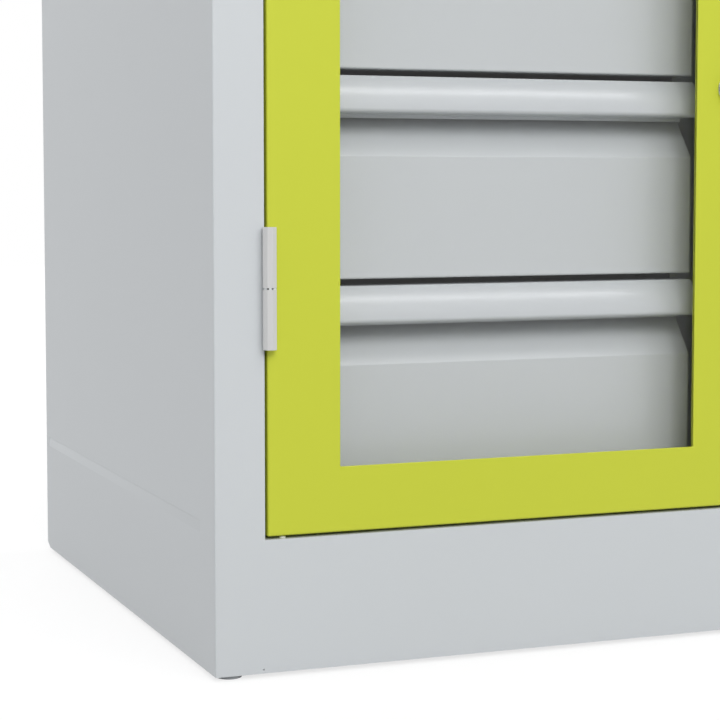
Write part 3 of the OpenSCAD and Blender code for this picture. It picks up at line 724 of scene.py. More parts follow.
def smoothing_group() -> bpy.types.NodeTree:
    """A geometry node group that shades every face smooth, made at its first use.

    Returns:
        The group.
    """
    name = "shade every face smooth"
    if name in bpy.data.node_groups:
        return bpy.data.node_groups[name]
    group = bpy.data.node_groups.new(name, "GeometryNodeTree")
    group.is_modifier = True
    group.interface.new_socket("Geometry", in_out="INPUT", socket_type="NodeSocketGeometry")
    group.interface.new_socket("Geometry", in_out="OUTPUT", socket_type="NodeSocketGeometry")
    start = group.nodes.new("NodeGroupInput")
    shade_smooth = group.nodes.new("GeometryNodeSetShadeSmooth")
    end = group.nodes.new("NodeGroupOutput")
    group.links.new(start.outputs[0], shade_smooth.inputs[0])
    group.links.new(shade_smooth.outputs[0], end.inputs[0])
    return group


@dataclass
class Dresser:
    """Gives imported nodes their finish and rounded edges, and makes the finer pieces.

    corner is the body's lower left front corner, and done the names of what is finished.
    """

    nodes: dict[str, bpy.types.Object]
    corner: Vector
    materials: dict[Finish, bpy.types.Material] = field(default_factory=dict)
    done: list[str] = field(default_factory=list)

    def at(self, across: float, back: float, up: float) -> Vector:
        """The point that lies so many millimetres across, back and up."""
        return self.corner + Vector((across, back, up)) * MM

    def material(self, finish: Finish) -> bpy.types.Material:
        """The material of a finish, made at its first use.

        Args:
            finish: The finish.

        Returns:
            Its material.
        """
        if finish not in self.materials:
            self.materials[finish] = finish.make()
        return self.materials[finish]

    def dress(self, name: str, finish: Finish, rounding: float, limit: float = SHARP) -> None:
        """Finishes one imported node.

        Args:
            name: The node's name.
            finish: Its finish.
            rounding: Width of the rounding along its sharp edges, in millimetres.
            limit: Angle in degrees over which an edge counts as sharp.
        """
        node = self.nodes[name]
        node.data.materials.clear()
        node.data.materials.append(self.material(finish))
        weld = node.modifiers.new("joined corners", "WELD")
        weld.merge_threshold = JOINED
        round_edges(node, rounding * MM, math.radians(limit))
        self.done.append(name)

    def make(
        self,
        shape: Shape,
        name: str,
        body: Body,
        finish: Finish,
        stands_for: str = "",
        rounding: float = 0.0,
        smooth: float = 40.0,
    ) -> None:
        """Makes a piece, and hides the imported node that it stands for.

        Args:
            shape: The piece's mesh.
            name: Its name.
            body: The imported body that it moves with.
            finish: Its finish.
            stands_for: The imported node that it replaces.
            rounding: Width of the rounding along its sharp edges, in millimetres.
            smooth: Angle in degrees under which faces blend into each other.
        """
        limit = math.radians(smooth)
        data = shape.finished(name, limit)
        data.materials.append(self.material(finish))
        made = placed(name, data)
        if rounding:
            round_edges(made, rounding * MM, limit)
        else:
            even_shading(made)
        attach(made, body.value)
        if stands_for:
            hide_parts(stands_for)
        self.done.append(name)


# ---- Sub-assemblies ----


@dataclass
class Carcass:
    """The painted case with its posts, feet and glides."""

    dresser: Dresser
    sheet_round: float = 0.45
    plate_round: float = 0.3
    width: float = 440.0
    band_low: float = 90.0
    band_height: float = 8.0
    band_depth: float = 0.9
    band_drawn: float = 0.3
    band_step: float = 0.3
    band_near: float = 3.0
    glide_across: float = 12.6
    glide_backs: Sequence[float] = (12.0, 479.0)
    button: Sequence[float] = (47.6, 5.0, 88.0)
    bumper_across: float = 400.0
    bumper_back: float = 22.0
    bumper_ups: Sequence[float] = (159.4, 611.6)

    def wall(self, side: str) -> None:
        """Makes a side wall whose pressed band is one slanted face under a small step.

        Args:
            side: left or right.
        """
        node = f"{side}_side_wall"
        shape = Shape()
        shape.mesh.from_mesh(self.dresser.nodes["left_side_wall"].data)
        if side == "right":
            bmesh.ops.scale(shape.mesh, vec=(-1.0, 1.0, 1.0), verts=shape.mesh.verts)
            bmesh.ops.reverse_faces(shape.mesh, faces=shape.mesh.faces)
        bmesh.ops.remove_doubles(shape.mesh, verts=shape.mesh.verts, dist=JOINED)
        face = self.dresser.at(0.0 if side == "left" else self.width, 0.0, self.band_low)
        inward = -math.copysign(1.0, face.x)
        height, depth = self.band_height * MM, self.band_depth * MM
        slant = height - self.band_step * MM
        trough = set()
        for vert in shape.mesh.verts:
            deep, rise = (vert.co.x - face.x) * inward, vert.co.z - face.z
            if deep < self.band_near * MM and -MM < rise < height + MM:
                trough.add(vert)
                if 0.9 * depth < deep < 1.1 * depth:
                    rise = slant if rise > height / 2 else height / 4
                    vert.co.z = face.z + rise
                    vert.co.x = face.x + inward * self.band_drawn * MM * min(1.0, rise / slant)
        weight = shape.mesh.edges.layers.float.new(BEVEL_WEIGHT)
        for edge in shape.mesh.edges:
            sharp = edge.calc_face_angle(0.0) > math.radians(SHARP)
            edge[weight] = float(sharp and not trough.issuperset(edge.verts))
        name = f"{side}_banded_wall"
        self.dresser.make(shape, name, Body.CABINET, SHEENED_WALL_PAINT, node, self.sheet_round, SHARP)

    def glides(self) -> None:
        """Makes the pressed-in feet, with rounded soles and barbs on their stems."""
        foot = [(0.0, -3.0), (7.6, -3.0), (8.5, -2.72), (8.9, -2.2), (9.0, -1.5)]
        foot += [(9.0, -0.35), (8.75, 0.0)]
        barbs = [point for up in (4.4, 5.9, 7.4) for point in ((4.45, up), (3.9, up + 1.3))]
        stem = [(3.95, 0.0), (3.95, 4.1), *barbs, (3.7, 8.9), (2.9, 9.6), (0.0, 10.0)]
        shape = Shape()
        for across in (self.glide_across, self.width - self.glide_across):
            for back in self.glide_backs:
                shape.turned(foot + stem, self.dresser.at(across, back, 0.0), Axis.UP, 64)
        self.dresser.make(shape, "barbed_glides", Body.CABINET, GLIDE_PLASTIC, "corner_glides")

    def small_parts(self) -> None:
        """Makes the domed slide button under the door and the cushioned door bumpers."""
        dome = [(0.0, 0.0), (2.2, 0.0), (2.2, 0.85), (2.08, 1.12), (1.8, 1.28), (1.2, 1.37)]
        button = Shape()
        button.turned([*dome, (0.0, 1.4)], self.dresser.at(*self.button), Axis.UP, 40)
        name, node = "domed_slide_button", "door_slide_button"
        self.dresser.make(button, name, Body.CABINET, BUTTON_PLASTIC, node)
        pad = [(0.0, 0.0), (4.0, 0.0), (4.0, 0.7), (3.8, 1.2), (3.2, 1.6), (2.2, 1.8), (1.4, 1.72)]
        bumpers = Shape()
        for up in self.bumper_ups:
            at = self.dresser.at(self.bumper_across, self.bumper_back, up)
            bumpers.turned([*pad, (0.0, 1.5)], at, Axis.FRONT, 40)
        self.dresser.make(bumpers, "dished_door_bumpers", Body.CABINET, RUBBER, "door_bumpers")

    def build(self) -> None:
        """Dresses the case and makes its finer pieces."""
        for name in ("front_frame", "top_panel", "floor_panel", "back_panel"):
            self.dresser.dress(name, BODY_PAINT, self.sheet_round)
        for side in ("left", "right"):
            self.wall(side)
        for name in ("left_runner_posts", "right_runner_posts", "foot_plates"):
            self.dresser.dress(name, ZINC, self.plate_round)
        self.glides()
        self.small_parts()


@dataclass
class Door:
    """The folded door pan with its pane, seal, clamp frame and nuts."""

    dresser: Dresser
    outline: Sequence[float] = (36.0, 404.0, 90.0, 681.0)
    window: Sequence[float] = (86.5, 353.5, 133.5, 637.5)
    depth: float = 20.0
    sheet: float = 1.2
    bend: float = 1.5
    fold: float = 12.0
    corner: float = 1.0
    window_corner: float = 0.6
    latch: Sequence[float] = (381.0, 0.0, 385.5)
    latch_hole: float = 8.5
    stud_out: float = 12.5
    stud_rises: int = 5
    stud_runs: int = 3
    clamp_back: float = 6.4

    def loop(self, box: Sequence[float], inset: float, back: float, corner: float) -> list[Vector]:
        """A rectangle with rounded corners.

        Args:
            box: Its left, right, lower and upper sides before the inset.
            inset: How far inside them it runs; negative for outside.
            back: Its distance behind the door's face.
            corner: Radius of its corners.

        Returns:
            Its points.
        """
        left, right, low, high = box[0] + inset, box[1] - inset, box[2] + inset, box[3] - inset
        corners = [(left, low), (right, low), (right, high), (left, high)]
        points = filleted([(*spot, max(corner, 0.15)) for spot in corners])
        return [self.dresser.at(across, back, up) for across, up in points]

    def pan(self) -> None:
        """Makes the pan: face, side walls, back folds, window and latch hole, with real bends."""
        bend, sheet, depth = self.bend, self.sheet, self.depth
        inner = bend - sheet
        turns = [polar(1.0, math.radians(angle)) for angle in range(0, 91, 18)]
        path = [(bend - bend * sin, bend - bend * cos) for cos, sin in turns]
        path += [(bend - bend * cos, depth - bend + bend * sin) for cos, sin in turns]
        path += [(self.fold, depth), (self.fold, depth - sheet), (bend, depth - sheet)]
        path += [(sheet, depth - bend), (sheet, bend), (sheet + inner, sheet)]
        loops = [self.loop(self.outline, inset, back, self.corner - inset) for inset, back in path]
        lip = [(-0.25, sheet), (0.0, sheet - 0.25), (0.0, 0.35), (-0.1, 0.1), (-0.35, 0.0)]
        corner = self.window_corner
        loops += [self.loop(self.window, inset, back, corner - inset) for inset, back in lip]
        shape = Shape()
        shape.loft(loops, closed=True)
        shape.pierce(self.dresser.at(*self.latch), self.latch_hole * MM)
        name, node = "folded_door_pan", "door_frame"
        self.dresser.make(shape, name, Body.DOOR, DOOR_PAINT, node, smooth=60.0)

    def nuts(self) -> None:
        """Makes the flanged nuts on their threaded studs, round the clamp frame."""
        left, right, low, high = (
            side + sign * self.stud_out for side, sign in zip(self.window, (-1, 1, -1, 1))
        )
        rise, run = (high - low) / self.stud_rises, (right - left) / self.stud_runs
        spots = [(x, low + rise * i) for x in (left, right) for i in range(self.stud_rises + 1)]
        spots += [(left + run * i, up) for up in (low, high) for i in range(1, self.stud_runs)]
        thread = [(1.5 if i % 2 else 1.28, 7.4 + 0.25 * i) for i in range(5)]
        stud = [(0.0, 0.0), (1.5, 0.0), (1.5, 7.2), *thread, (1.1, 8.6), (0.0, 8.6)]
        nut = [(1.45, 0.0), (2.72, 0.0), (2.75, 0.3), (2.5, 0.7), (2.55, 0.75), (2.55, 2.2)]
        nut += [(2.3, 2.4), (1.45, 2.4)]
        shape = Shape()
        for across, up in spots:
            shape.turned(stud, self.dresser.at(across, self.sheet, up), Axis.BACK, 20)
            at = self.dresser.at(across, self.clamp_back, up)
            shape.turned(nut, at, Axis.BACK, 6, ring=True)
        self.dresser.make(shape, "clamp_nuts", Body.DOOR, ZINC, "clamp_studs", smooth=50.0)

    def build(self) -> None:
        """Makes the pan and nuts and dresses the rest."""
        self.pan()
        self.nuts()
        self.dresser.dress("window_pane", CLEAR, 0.25)
        self.dresser.dress("pane_gasket", RUBBER, 0.3)
        self.dresser.dress("pane_clamp_frame", DOOR_PAINT, 0.3)


@dataclass
class Latch:
    """The turn latch: housing, ring nut, knob, cam and screw."""

    dresser: Dresser
    across: float = 381.0
    up: float = 385.5
    sheet: float = 1.2
    shaft_end: float = 24.0
    cam_back: float = 26.0
    flutes: int = 30
    flute_depth: float = 0.55
    bar: Point = (3.0, 9.6)
    waist: float = 0.72
    recess: Point = (1.9, 0.42)
    knurls: int = 36
    knurl_depth: float = 0.35

    def at(self, back: float) -> Vector:
        """The point of the latch's axis at a distance behind the door's face."""
        return self.dresser.at(self.across, back, self.up)

    def knob(self) -> None:
        """Makes the knob: a fluted disc with a slight dome, a waisted finger bar and the shaft."""
        shaft = [(0.0, 8.0), (2.0, 8.0), (2.0, 0.0), (4.2, 0.0), (4.5, 0.3), (4.5, 25.7)]
        disc = [(10.3, 25.7), (10.8, 25.9), (11.0, 26.3), (11.0, 27.6), (10.7, 28.1), (10.1, 28.35)]
        dome = [(8.0, 28.55), (4.5, 28.67), (0.0, 28.7)]
        shape = Shape()
        flutes = self.flutes, self.flute_depth
        shape.turned(shaft + disc + dome, self.at(self.shaft_end), Axis.FRONT, 120, *flutes)
        loops = []
        half_wide, half_long = self.bar
        rises = [(-4.2, 0.35), (-5.2, 0.1), (-6.4, 0.0), (-7.8, -0.1), (-8.45, -0.5), (-8.7, -1.1)]
        for back, spread in rises:
            loop = []
            for i in range(56):
                turn = math.tau * i / 56
                along = math.copysign(abs(math.sin(turn)) ** 0.7, math.sin(turn))
                waist = self.waist + (1 - self.waist) * along * along
                side = math.copysign(abs(math.cos(turn)) ** 0.55, math.cos(turn)) * waist
                point = Vector((side * (half_wide + spread), back, along * (half_long + spread)))
                loop.append(self.at(0.0) + point * MM)
            loops.append(loop)
        shape.loft(loops)
        self.dresser.make(shape, "fluted_knob", Body.LATCH, KNOB_PLASTIC, "latch_knob")

    def screw(self) -> None:
        """Makes the cam screw with a cross recess in its domed head."""
        arm, half = self.recess
        corners = [(half, half), (half, arm), (-half, arm), (-half, half)]
        corners += [(-arm, half), (-arm, -half)]
        corners += [(-x, -z) for x, z in corners]
        cross = []
        for (x, z), (next_x, next_z) in zip(corners, corners[1:] + corners[:1]):
            cross += [(x + (next_x - x) * k / 4, z + (next_z - z) * k / 4) for k in range(4)]
        turns = [math.atan2(z, x) for x, z in cross]
        head = [(1.95, -7.0), (1.95, 0.0), (3.4, 0.0), (3.5, 0.2), (3.5, 0.5), (3.1, 0.95)]
        head.append((2.3, 1.3))
        sinks = [(1.0, 1.5), (0.95, 1.4), (0.7, 0.5)]
        rings = [
            *(([polar(radius, turn) for turn in turns], back) for radius, back in head),
            *(([(size * x, size * z) for x, z in cross], back) for size, back in sinks),
        ]
        foot = self.at(self.cam_back)
        shape = Shape()
        shape.loft([[foot + Vector((x, back, z)) * MM for x, z in ring] for ring, back in rings])
        self.dresser.make(shape, "cross_head_screw", Body.LATCH, BRIGHT_STEEL, "cam_screw")

    def ring_nut(self) -> None:
        """Makes the knurled ring nut behind the door's sheet."""
        ring = [(8.5, 0.0), (9.3, 0.0), (9.5, 0.2), (9.5, 3.7), (9.3, 4.0), (8.5, 4.0)]
        shape = Shape()
        knurls = self.knurls, self.knurl_depth
        shape.turned(ring, self.at(self.sheet), Axis.BACK, 144, *knurls, ring=True)
        self.dresser.make(shape, "knurled_ring_nut", Body.DOOR, ZINC, "latch_nut")

    def build(self) -> None:
        """Makes and dresses the latch."""
        self.knob()
        self.screw()
        self.ring_nut()
        self.dresser.dress("latch_housing", ZINC, 0.35)
        self.dresser.dress("latch_cam", ZINC, 0.3)


@dataclass
class Hinges:
    """The two lift-off hinges: eight-sided knuckles with leaves, washers and pins."""

    dresser: Dresser
    across: float = 36.0
    back: float = -5.0
    splits: Sequence[float] = (252.0, 519.0)
    reach: float = 39.5
    half_washer: float = 0.5
    core: float = 3.2
    lobe_reach: float = 4.45
    lobe_half: float = 11.5
    lobe_taper: float = 0.5
    flat: float = 4.4
    corner: float = 0.75
    first_corner: float = -35.0
    outer_round: float = 0.12
    split_round: float = 0.08
    bore: float = 2.05
    blind: float = 34.0
    leaf: float = 0.85
    leaf_across: float = 34.0
    leaf_from: float = -2.3
    leaf_to: float = 16.0
    leaf_short: float = 0.4

    def outline(self, flat: float) -> list[Point]:
        """The rounded octagon of a knuckle.

        Args:
            flat: Distance from its middle to its flats.

        Returns:
            Its points, about the hinge's axis.
        """
        reach = flat / math.cos(math.pi / 8)
        turns = [math.radians(self.first_corner - 90 + 45 * i) for i in range(8)]
        return filleted([(*polar(reach, turn), self.corner) for turn in turns], 4)

    def about(self, points: Sequence[Point], up: float) -> list[Vector]:
        """Places points that are given about the hinge's axis, at one height."""
        return [self.dresser.at(self.across + x, self.back + y, up) for x, y in points]

    def half(self, closed_end: float, split_end: float, leaf_across: float, blind: bool) -> Shape:
        """One half of a hinge.

        Args:
            closed_end: Height of the knuckle's outer end.
            split_end: Height of its end at the washer.
            leaf_across: Distance of its leaf's first face from the body's side.
            blind: True where the bore stops inside the knuckle.

        Returns:
            Its mesh.
        """
        way = math.copysign(1.0, split_end - closed_end)
        outer, split = self.outer_round, self.split_round
        ends = [(closed_end, self.flat - outer), (closed_end + way * outer, self.flat)]
        ends += [(split_end - way * split, self.flat), (split_end, self.flat - split)]
        loops = [self.about(self.outline(flat), up) for up, flat in ends]
        turns = [math.atan2(y, x) for x, y in self.outline(self.flat)]
        hole = [polar(self.bore, turn) for turn in turns]
        bore_end = split_end - way * self.blind if blind else closed_end
        loops += [self.about(hole, up) for up in (split_end, bore_end)]
        shape = Shape()
        shape.loft(loops, closed=not blind)
        low, high = sorted((closed_end, split_end))
        shape.block(
            self.dresser.at(leaf_across, self.leaf_from, low + self.leaf_short),
            self.dresser.at(leaf_across + self.leaf, self.leaf_to, high - self.leaf_short),
        )
        return shape

    def washer(self, shade_cores: Shape, lobes: Shape, low: float) -> None:
        """Adds one washer: pale lobes, and a black core whose colour is painted shade in the gaps
        between the lobes, over the real shade of those recesses.

        Args:
            shade_cores: The mesh of the black cores, whose colour paints the shade in the gaps.
            lobes: The mesh of the lobes.
            low: Height of the washer's underside.
        """
        top = 2 * self.half_washer
        core = [(self.bore, SEAM), (self.core, SEAM)]
        core += [(self.core, top - SEAM), (self.bore, top - SEAM)]
        at = self.dresser.at(self.across, self.back, low)
        shade_cores.turned(core, at, Axis.UP, 48, ring=True)
        half, narrow = self.lobe_half, self.lobe_half - self.lobe_taper
        for i in range(8):
            middle = self.first_corner + 45 * (i - 1.5)
            rim = arc((0.0, 0.0), self.core + SEAM, middle - half, middle + half, 4)
            rim += arc((0.0, 0.0), self.lobe_reach, middle + narrow, middle - narrow, 1)
            lobes.prism(self.about(rim, low), Vector((0.0, 0.0, top * MM)))

    def build(self) -> None:
        """Makes the halves and washers and dresses the pins."""
        shade_cores, lobes = Shape(), Shape()
        for level, split in zip(("lower", "upper"), self.splits):
            low, high = split - self.half_washer, split + self.half_washer
            for side, body, way, end, leaf in (
                ("body", Body.CABINET, -1, low, self.leaf_across),
                ("door", Body.DOOR, 1, high, self.across - self.leaf),
            ):
                shape = self.half(split + way * self.reach, end, leaf, side == "door")
                name, node = f"{level}_{side}_knuckle", f"{level}_hinge_{side}_leaf"
                self.dresser.make(shape, name, body, HINGE_PAINT, node, smooth=30.0)
            self.washer(shade_cores, lobes, low)
        # The black cores are painted shade: dark where they show in the recessed gaps between the
        # pale lobes.
        self.dresser.make(shade_cores, "washer_cores_painted_shade", Body.CABINET, RUBBER, "hinge_washers")
        self.dresser.make(lobes, "washer_lobes", Body.CABINET, WASHER_PLASTIC)
        self.dresser.dress("hinge_pins", ZINC, 0.3)


@dataclass
class Drawer:
    """One drawer with its folded front, hollow grip, tray, ribbed liner and runners."""

    dresser: Dresser
    number: int
    lowest: float = 112.6
    pitch: float = 142.0
    height: float = 137.4
    left: float = 66.5
    right: float = 373.5
    plane: float = 40.0
    sheet: float = 1.2
    upright: float = 22.0
    face: float = 1.5
    scoop: Sequence[float] = (27.0, 54.0)
    bend: float = 1.5
    grip_wall: float = 1.8
    grip_out: float = 12.0
    grip_drop: float = 22.0
    grip_radius: float = 31.0
    nose: float = 3.0
    lip: Sequence[float] = (14.0, 2.7)
    leg: float = 14.0
    cap: float = 2.0
    plug: float = 8.0
    plug_gap: float = 0.2
    tray: Sequence[float] = (78.7, 361.3, 63.2, 468.0)
    tray_floor: float = 9.0
    liner_gap: float = 2.0
    rib_pitch: float = 4.0
    rim: float = 3.0
    rim_height: float = 3.0
    rim_edge: float = 0.4
    rib_height: float = 0.7
    mat: float = 2.0

    @property
    def name(self) -> str:
        """The first part of the names of the drawer's nodes and pieces."""
        return f"drawer_{self.number}"

    def make(self, shape: Shape, piece: str, finish: Finish, node: str, **look: float) -> None:
        """Makes a piece of the drawer; the piece's and the node's name follow the drawer's own."""
        body, stands_for = Body(self.name), f"{self.name}_{node}"
        self.dresser.make(shape, f"{self.name}_{piece}", body, finish, stands_for, **look)

    def section(self, points: Sequence[Point], across: float) -> list[Vector]:
        """Places points that are given in front of the drawers' plane and below this one's top."""
        top = self.lowest + self.pitch * (self.number - 1) + self.height
        return [self.dresser.at(across, self.plane - out, top - down) for out, down in points]

    def bar(self, shape: Shape, points: Sequence[Point], start: float, end: float) -> None:
        """Adds a section that runs across the drawer from its start to its end."""
        shape.prism(self.section(points, start), Vector(((end - start) * MM, 0.0, 0.0)))

    def front(self) -> None:
        """Makes the front from one folded sheet, with a plate welded into each end."""
        start, end = self.scoop
        tight, crease, brim = 0.4, 0.2, 0.1
        slope = math.atan2(self.upright - self.face, end - start)
        lean = self.sheet * math.tan(slope / 2)
        back = -self.upright - self.sheet
        outer = [(-self.upright, self.grip_wall, brim), (-self.upright, start, tight)]
        outer += [(-self.face, end, self.bend), (-self.face, self.height, self.bend)]
        fold = [(back, self.height, crease), (back, self.height - self.sheet, crease)]
        inner = [(-self.face - self.sheet, self.height - self.sheet, tight)]
        inner += [(-self.face - self.sheet, end + lean, tight), (back, start + lean, self.bend)]
        inner += [(back, self.grip_wall, brim)]
        shape = Shape()
        folded = filleted(outer + fold + inner)
        self.bar(shape, folded, self.left + self.sheet, self.right - self.sheet)
        plate = filleted(outer + [(back, self.height, crease), (back, self.grip_wall, crease)])
        self.bar(shape, plate, self.left, self.left + self.sheet - SEAM)
        self.bar(shape, plate, self.right - self.sheet + SEAM, self.right)
        self.make(shape, "folded_front", SHADED_DRAWER_PAINT, "front", rounding=0.25, smooth=50.0)

    def grip_line(self, inset: float) -> list[Point]:
        """The grip's curved face and nose.

        Args:
            inset: Distance inside the outer surface.

        Returns:
            The points, from the top round to the underside.
        """
        chord = Vector((self.grip_out, self.grip_drop))
        half = chord.length / 2
        away = math.sqrt(self.grip_radius**2 - half**2) / chord.length
        middle = chord / 2 + away * Vector((-self.grip_drop, self.grip_out))
        start = math.degrees(math.asin((inset - middle.y) / (self.grip_radius - inset)))
        turn = math.atan2(self.grip_drop - middle.y, self.grip_out - middle.x)
        tip = chord - self.nose * Vector((math.cos(turn), math.sin(turn)))
        end = math.degrees(turn)
        face = arc(tuple(middle), self.grip_radius - inset, start, end, 24)
        return face + arc(tuple(tip), self.nose - inset, end, 90.0, 10)[1:]

    def grip(self) -> None:
        """Makes the hollow grip and the caps that close its ends."""
        wall, lip = self.grip_wall, -self.lip[0]
        outer, inner = self.grip_line(0.0), self.grip_line(wall)
        under = outer[-1][1]
        drop = under + self.lip[1]
        back = -self.upright - self.sheet
        leg, inside = back - wall, lip - wall
        profile = [(leg, self.leg), (leg, 0.6), (leg + 0.2, 0.2), (leg + 0.6, 0.0), *outer]
        profile += [(lip + 0.3, under), (lip, under + 0.3), (lip, drop - 0.4), (lip - 0.4, drop)]
        profile += [(inside + 0.4, drop), (inside, drop - 0.4), (inside, under - wall)]
        profile += [*reversed(inner), (back, wall), (back, self.leg)]
        shape = Shape()
        self.bar(shape, profile, self.left + self.cap, self.right - self.cap)
        self.make(shape, "rolled_grip", SHADED_GRIP_PAINT, "grip", smooth=35.0)
        end = [(-self.upright, 0.0), *outer, (-self.upright, under)]
        inset = wall + self.plug_gap
        plug = [(lip, inset), *self.grip_line(inset), (lip, under - inset)]
        shape = Shape()
        for start, way in ((self.left, 1), (self.right, -1)):
            stop = start + way * self.cap
            self.bar(shape, end, *sorted((start, stop)))
            self.bar(shape, plug, *sorted((stop, stop + way * self.plug)))
        self.make(shape, "grip_end_caps", SHADED_GRIP_PAINT, "grip_caps", rounding=0.3, smooth=45.0)

    def liner(self) -> None:
        """Makes the ribbed mat with its raised rim."""
        place, rim, edge, high = self.dresser.at, self.rim, self.rim_edge, self.rim_height
        left, right, front, back = (
            side + sign * self.liner_gap for side, sign in zip(self.tray, (1, -1, 1, -1))
        )
        low = self.lowest + self.pitch * (self.number - 1) + self.tray_floor
        corners = [(left, front, 1, 1), (right, front, -1, 1)]
        corners += [(right, back, -1, -1), (left, back, 1, -1)]
        steps = [(0.0, 0.0), (0.0, high - edge), (edge, high)]
        steps += [(rim - edge, high), (rim, high - edge), (rim, 0.0)]
        loops = [
            [place(x + inset * in_x, y + inset * in_y, low + up) for x, y, in_x, in_y in corners]
            for inset, up in steps
        ]
        shape = Shape()
        shape.loft(loops, closed=True)
        rim += SEAM
        count = int((back - front - 2 * rim) / self.rib_pitch)
        pitch = (back - front - 2 * rim) / count
        foot = low + self.mat - self.rib_height
        shares = ((0.0, 0.0), (0.3, 0.0), (0.42, 1.0), (0.88, 1.0))
        ribs = [
            (front + rim + (i + share) * pitch, foot + lift * self.rib_height)
            for i in range(count)
            for share, lift in shares
        ]
        outline = [(front + rim, low), *ribs, (back - rim, foot), (back - rim, low)]
        points = [place(left + rim, deep, up) for deep, up in outline]
        shape.prism(points, Vector(((right - left - 2 * rim) * MM, 0.0, 0.0)))
        self.make(shape, "ribbed_liner", RUBBER, "liner", smooth=20.0)

    def build(self) -> None:
        """Makes and dresses the drawer."""
        self.front()
        self.grip()
        self.liner()
        self.dresser.dress(f"{self.name}_tray", SHADED_DRAWER_PAINT, 0.35)
        for part in ("outer", "middle", "inner"):
            self.dresser.dress(f"{self.name}_runner_{part}", ZINC, 0.2, 60.0)


# ---- Room ----


@dataclass
class Viewpoint:
    """The camera, where the photograph was taken from."""

    at: Sequence[float] = (-0.5897, -1.4451, 0.3233)
    turned_right: float = 21.389
    tilted_down: float = 4.130
    lens: float = 98.25
    shift_up: float = -0.05

    def build(self) -> None:
        """Makes the scene's camera."""
        data = bpy.data.cameras.new("camera")
        data.lens = self.lens
        data.shift_y = self.shift_up
        camera = placed("camera", data)
        camera.location = self.at
        turn = (math.radians(90 - self.tilted_down), 0.0, -math.radians(self.turned_right))
        camera.rotation_euler = turn
        bpy.context.scene.camera = camera


@dataclass(frozen=True)
class Lamp:
    """A soft rectangular lamp that is aimed at the part.

    light is how bright the lamp alone would show a white sheet that faces it beside the part,
    mirrored says whether glossy surfaces mirror it, and lit whether it also lights the paint.
    """

    name: str
    at: Sequence[float]
    width: float
    height: float
    light: float
    aim: Sequence[float] = (0.0, 0.0, 0.3)
    mirrored: bool = True
    lit: bool = True

    def build(self) -> None:
        """Makes the lamp."""
        away = Vector(self.at) - Vector(self.aim)
        data = bpy.data.lights.new(self.name, "AREA")
        data.shape = "RECTANGLE"
        data.size = self.width
        data.size_y = self.height
        data.energy = self.light * (math.pi * away.length) ** 2
        lamp = placed(self.name, data)
        lamp.location = self.at
        lamp.rotation_euler = away.to_track_quat("Z", "Y").to_euler()
        lamp.visible_glossy = self.mirrored
        lamp.visible_diffuse = self.lit


LAMPS = (
    Lamp("key_lamp", (-0.83, -3.385, 2.08), 1.3, 1.3, 0.31),
    Lamp("fill_lamp", (0.4, -3.58, 1.9), 2.4, 1.3, 0.21, mirrored=False),
    Lamp("top_lamp", (0.4, -2.03, 2.54), 2.0, 1.3, 0.15, mirrored=False),
    Lamp("top_strip", (0.95, -1.26, 1.95), 2.0, 0.34, 0.47, (0.95, -0.2, 0.3), lit=False),
    Lamp("left_lamp", (-3.9, 0.55, 1.95), 2.5, 2.5, 0.213, mirrored=False),
    Lamp("right_lamp", (3.0, 0.4, 1.4), 1.8, 1.8, 0.38, mirrored=False),
    Lamp("back_lamp", (-0.4, 3.0, 1.5), 2.2, 1.4, 0.48, mirrored=False),
)


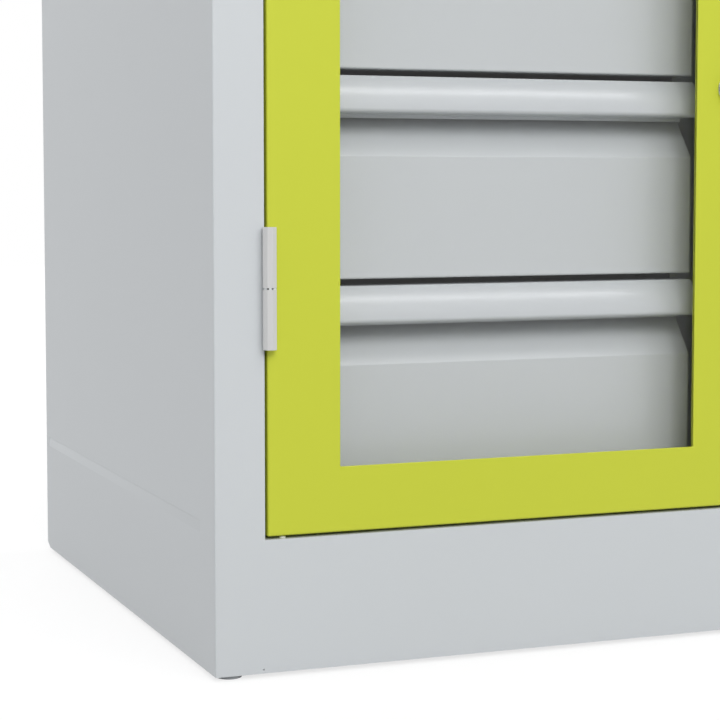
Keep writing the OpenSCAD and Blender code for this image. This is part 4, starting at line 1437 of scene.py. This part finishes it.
@dataclass
class Studio:
    """The pale floor, the white surround and the soft lamps."""

    floor_half: float = 6.0
    ambient_low: float = 0.36
    ambient_high: float = 0.37
    bounced: float = 0.45
    shown: float = 0.92
    glow: float = 1.06
    near_white: float = 0.7
    white_from: Point = (0.45, 1.2)

    @staticmethod
    def seen_directly(tree: Tree) -> Value:
        """1 for rays that show the surround itself: from the camera, a gloss or a clear pane.

        Args:
            tree: The tree that asks.

        Returns:
            1 for such rays and 0 for those that light the part.
        """
        path = tree.add("ShaderNodeLightPath", {}, {}).outputs
        camera = Value(tree, path["Is Camera Ray"])
        return camera.most(path["Is Glossy Ray"]).most(path["Is Transmission Ray"])

    def world(self) -> None:
        """Makes a surround that is white to look at and softly brighter overhead."""
        world = bpy.data.worlds.new("surround")
        bpy.context.scene.world = world
        tree = Tree(world)
        height = tree.split(tree.value("ShaderNodeTexCoord", {}, {}, "Generated"))[2]
        light = self.ambient_low + (self.ambient_high - self.ambient_low) * height.ramp(-0.1, 1.0)
        seen = self.seen_directly(tree)
        links = {"Color": WHITE, "Strength": light * (1 - seen) + seen}
        sky = tree.add("ShaderNodeBackground", {}, links)
        tree.add("ShaderNodeOutputWorld", {}, {"Surface": sky.outputs[0]})

    def floor(self) -> None:
        """Makes the floor, which keeps the part's shadow and turns white further off."""
        shape = bmesh.new()
        half = self.floor_half
        corners = [(-half, -half), (half, -half), (half, half), (-half, half)]
        shape.faces.new([shape.verts.new((x, y, 0.0)) for x, y in corners])
        data = bpy.data.meshes.new("floor")
        shape.to_mesh(data)
        shape.free()
        material = bpy.data.materials.new("pale_floor")
        tree = Tree(material)
        across, deep, _ = tree.split(tree.place())
        away = ((across * across + deep * deep) ** 0.5).ramp(*self.white_from)
        seen = self.seen_directly(tree)
        colour = tree.mixed(seen, shade(WHITE[:3], self.bounced), shade(WHITE[:3], self.shown))
        paint = tree.add("ShaderNodeBsdfDiffuse", {}, {"Color": colour})
        white = tree.add("ShaderNodeEmission", {}, {"Strength": self.glow})
        share = seen * (self.near_white + (1 - self.near_white) * away)
        links = {0: share, 1: paint.outputs[0], 2: white.outputs[0]}
        tree.finish(tree.add("ShaderNodeMixShader", {}, links))
        data.materials.append(material)
        floor = placed("floor", data)

    def build(self) -> None:
        """Makes the surround, the floor and the lamps."""
        self.world()
        self.floor()
        for lamp in LAMPS:
            lamp.build()


def main() -> None:
    """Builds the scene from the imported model."""
    logging.basicConfig(level=logging.INFO, format="%(message)s")
    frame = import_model()
    bpy.context.scene.view_settings.view_transform = "Standard"
    dresser = Dresser(frame["nodes"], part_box("front_frame")[0])
    assemblies = [Carcass(dresser), Door(dresser), Latch(dresser), Hinges(dresser)]
    assemblies += [Drawer(dresser, number) for number in (1, 2, 3, 4)]
    for assembly in assemblies:
        assembly.build()
    for name in dresser.done:
        log.info("finished %s", name)
    Studio().build()
    Viewpoint().build()


if __name__ == "__main__":
    main()
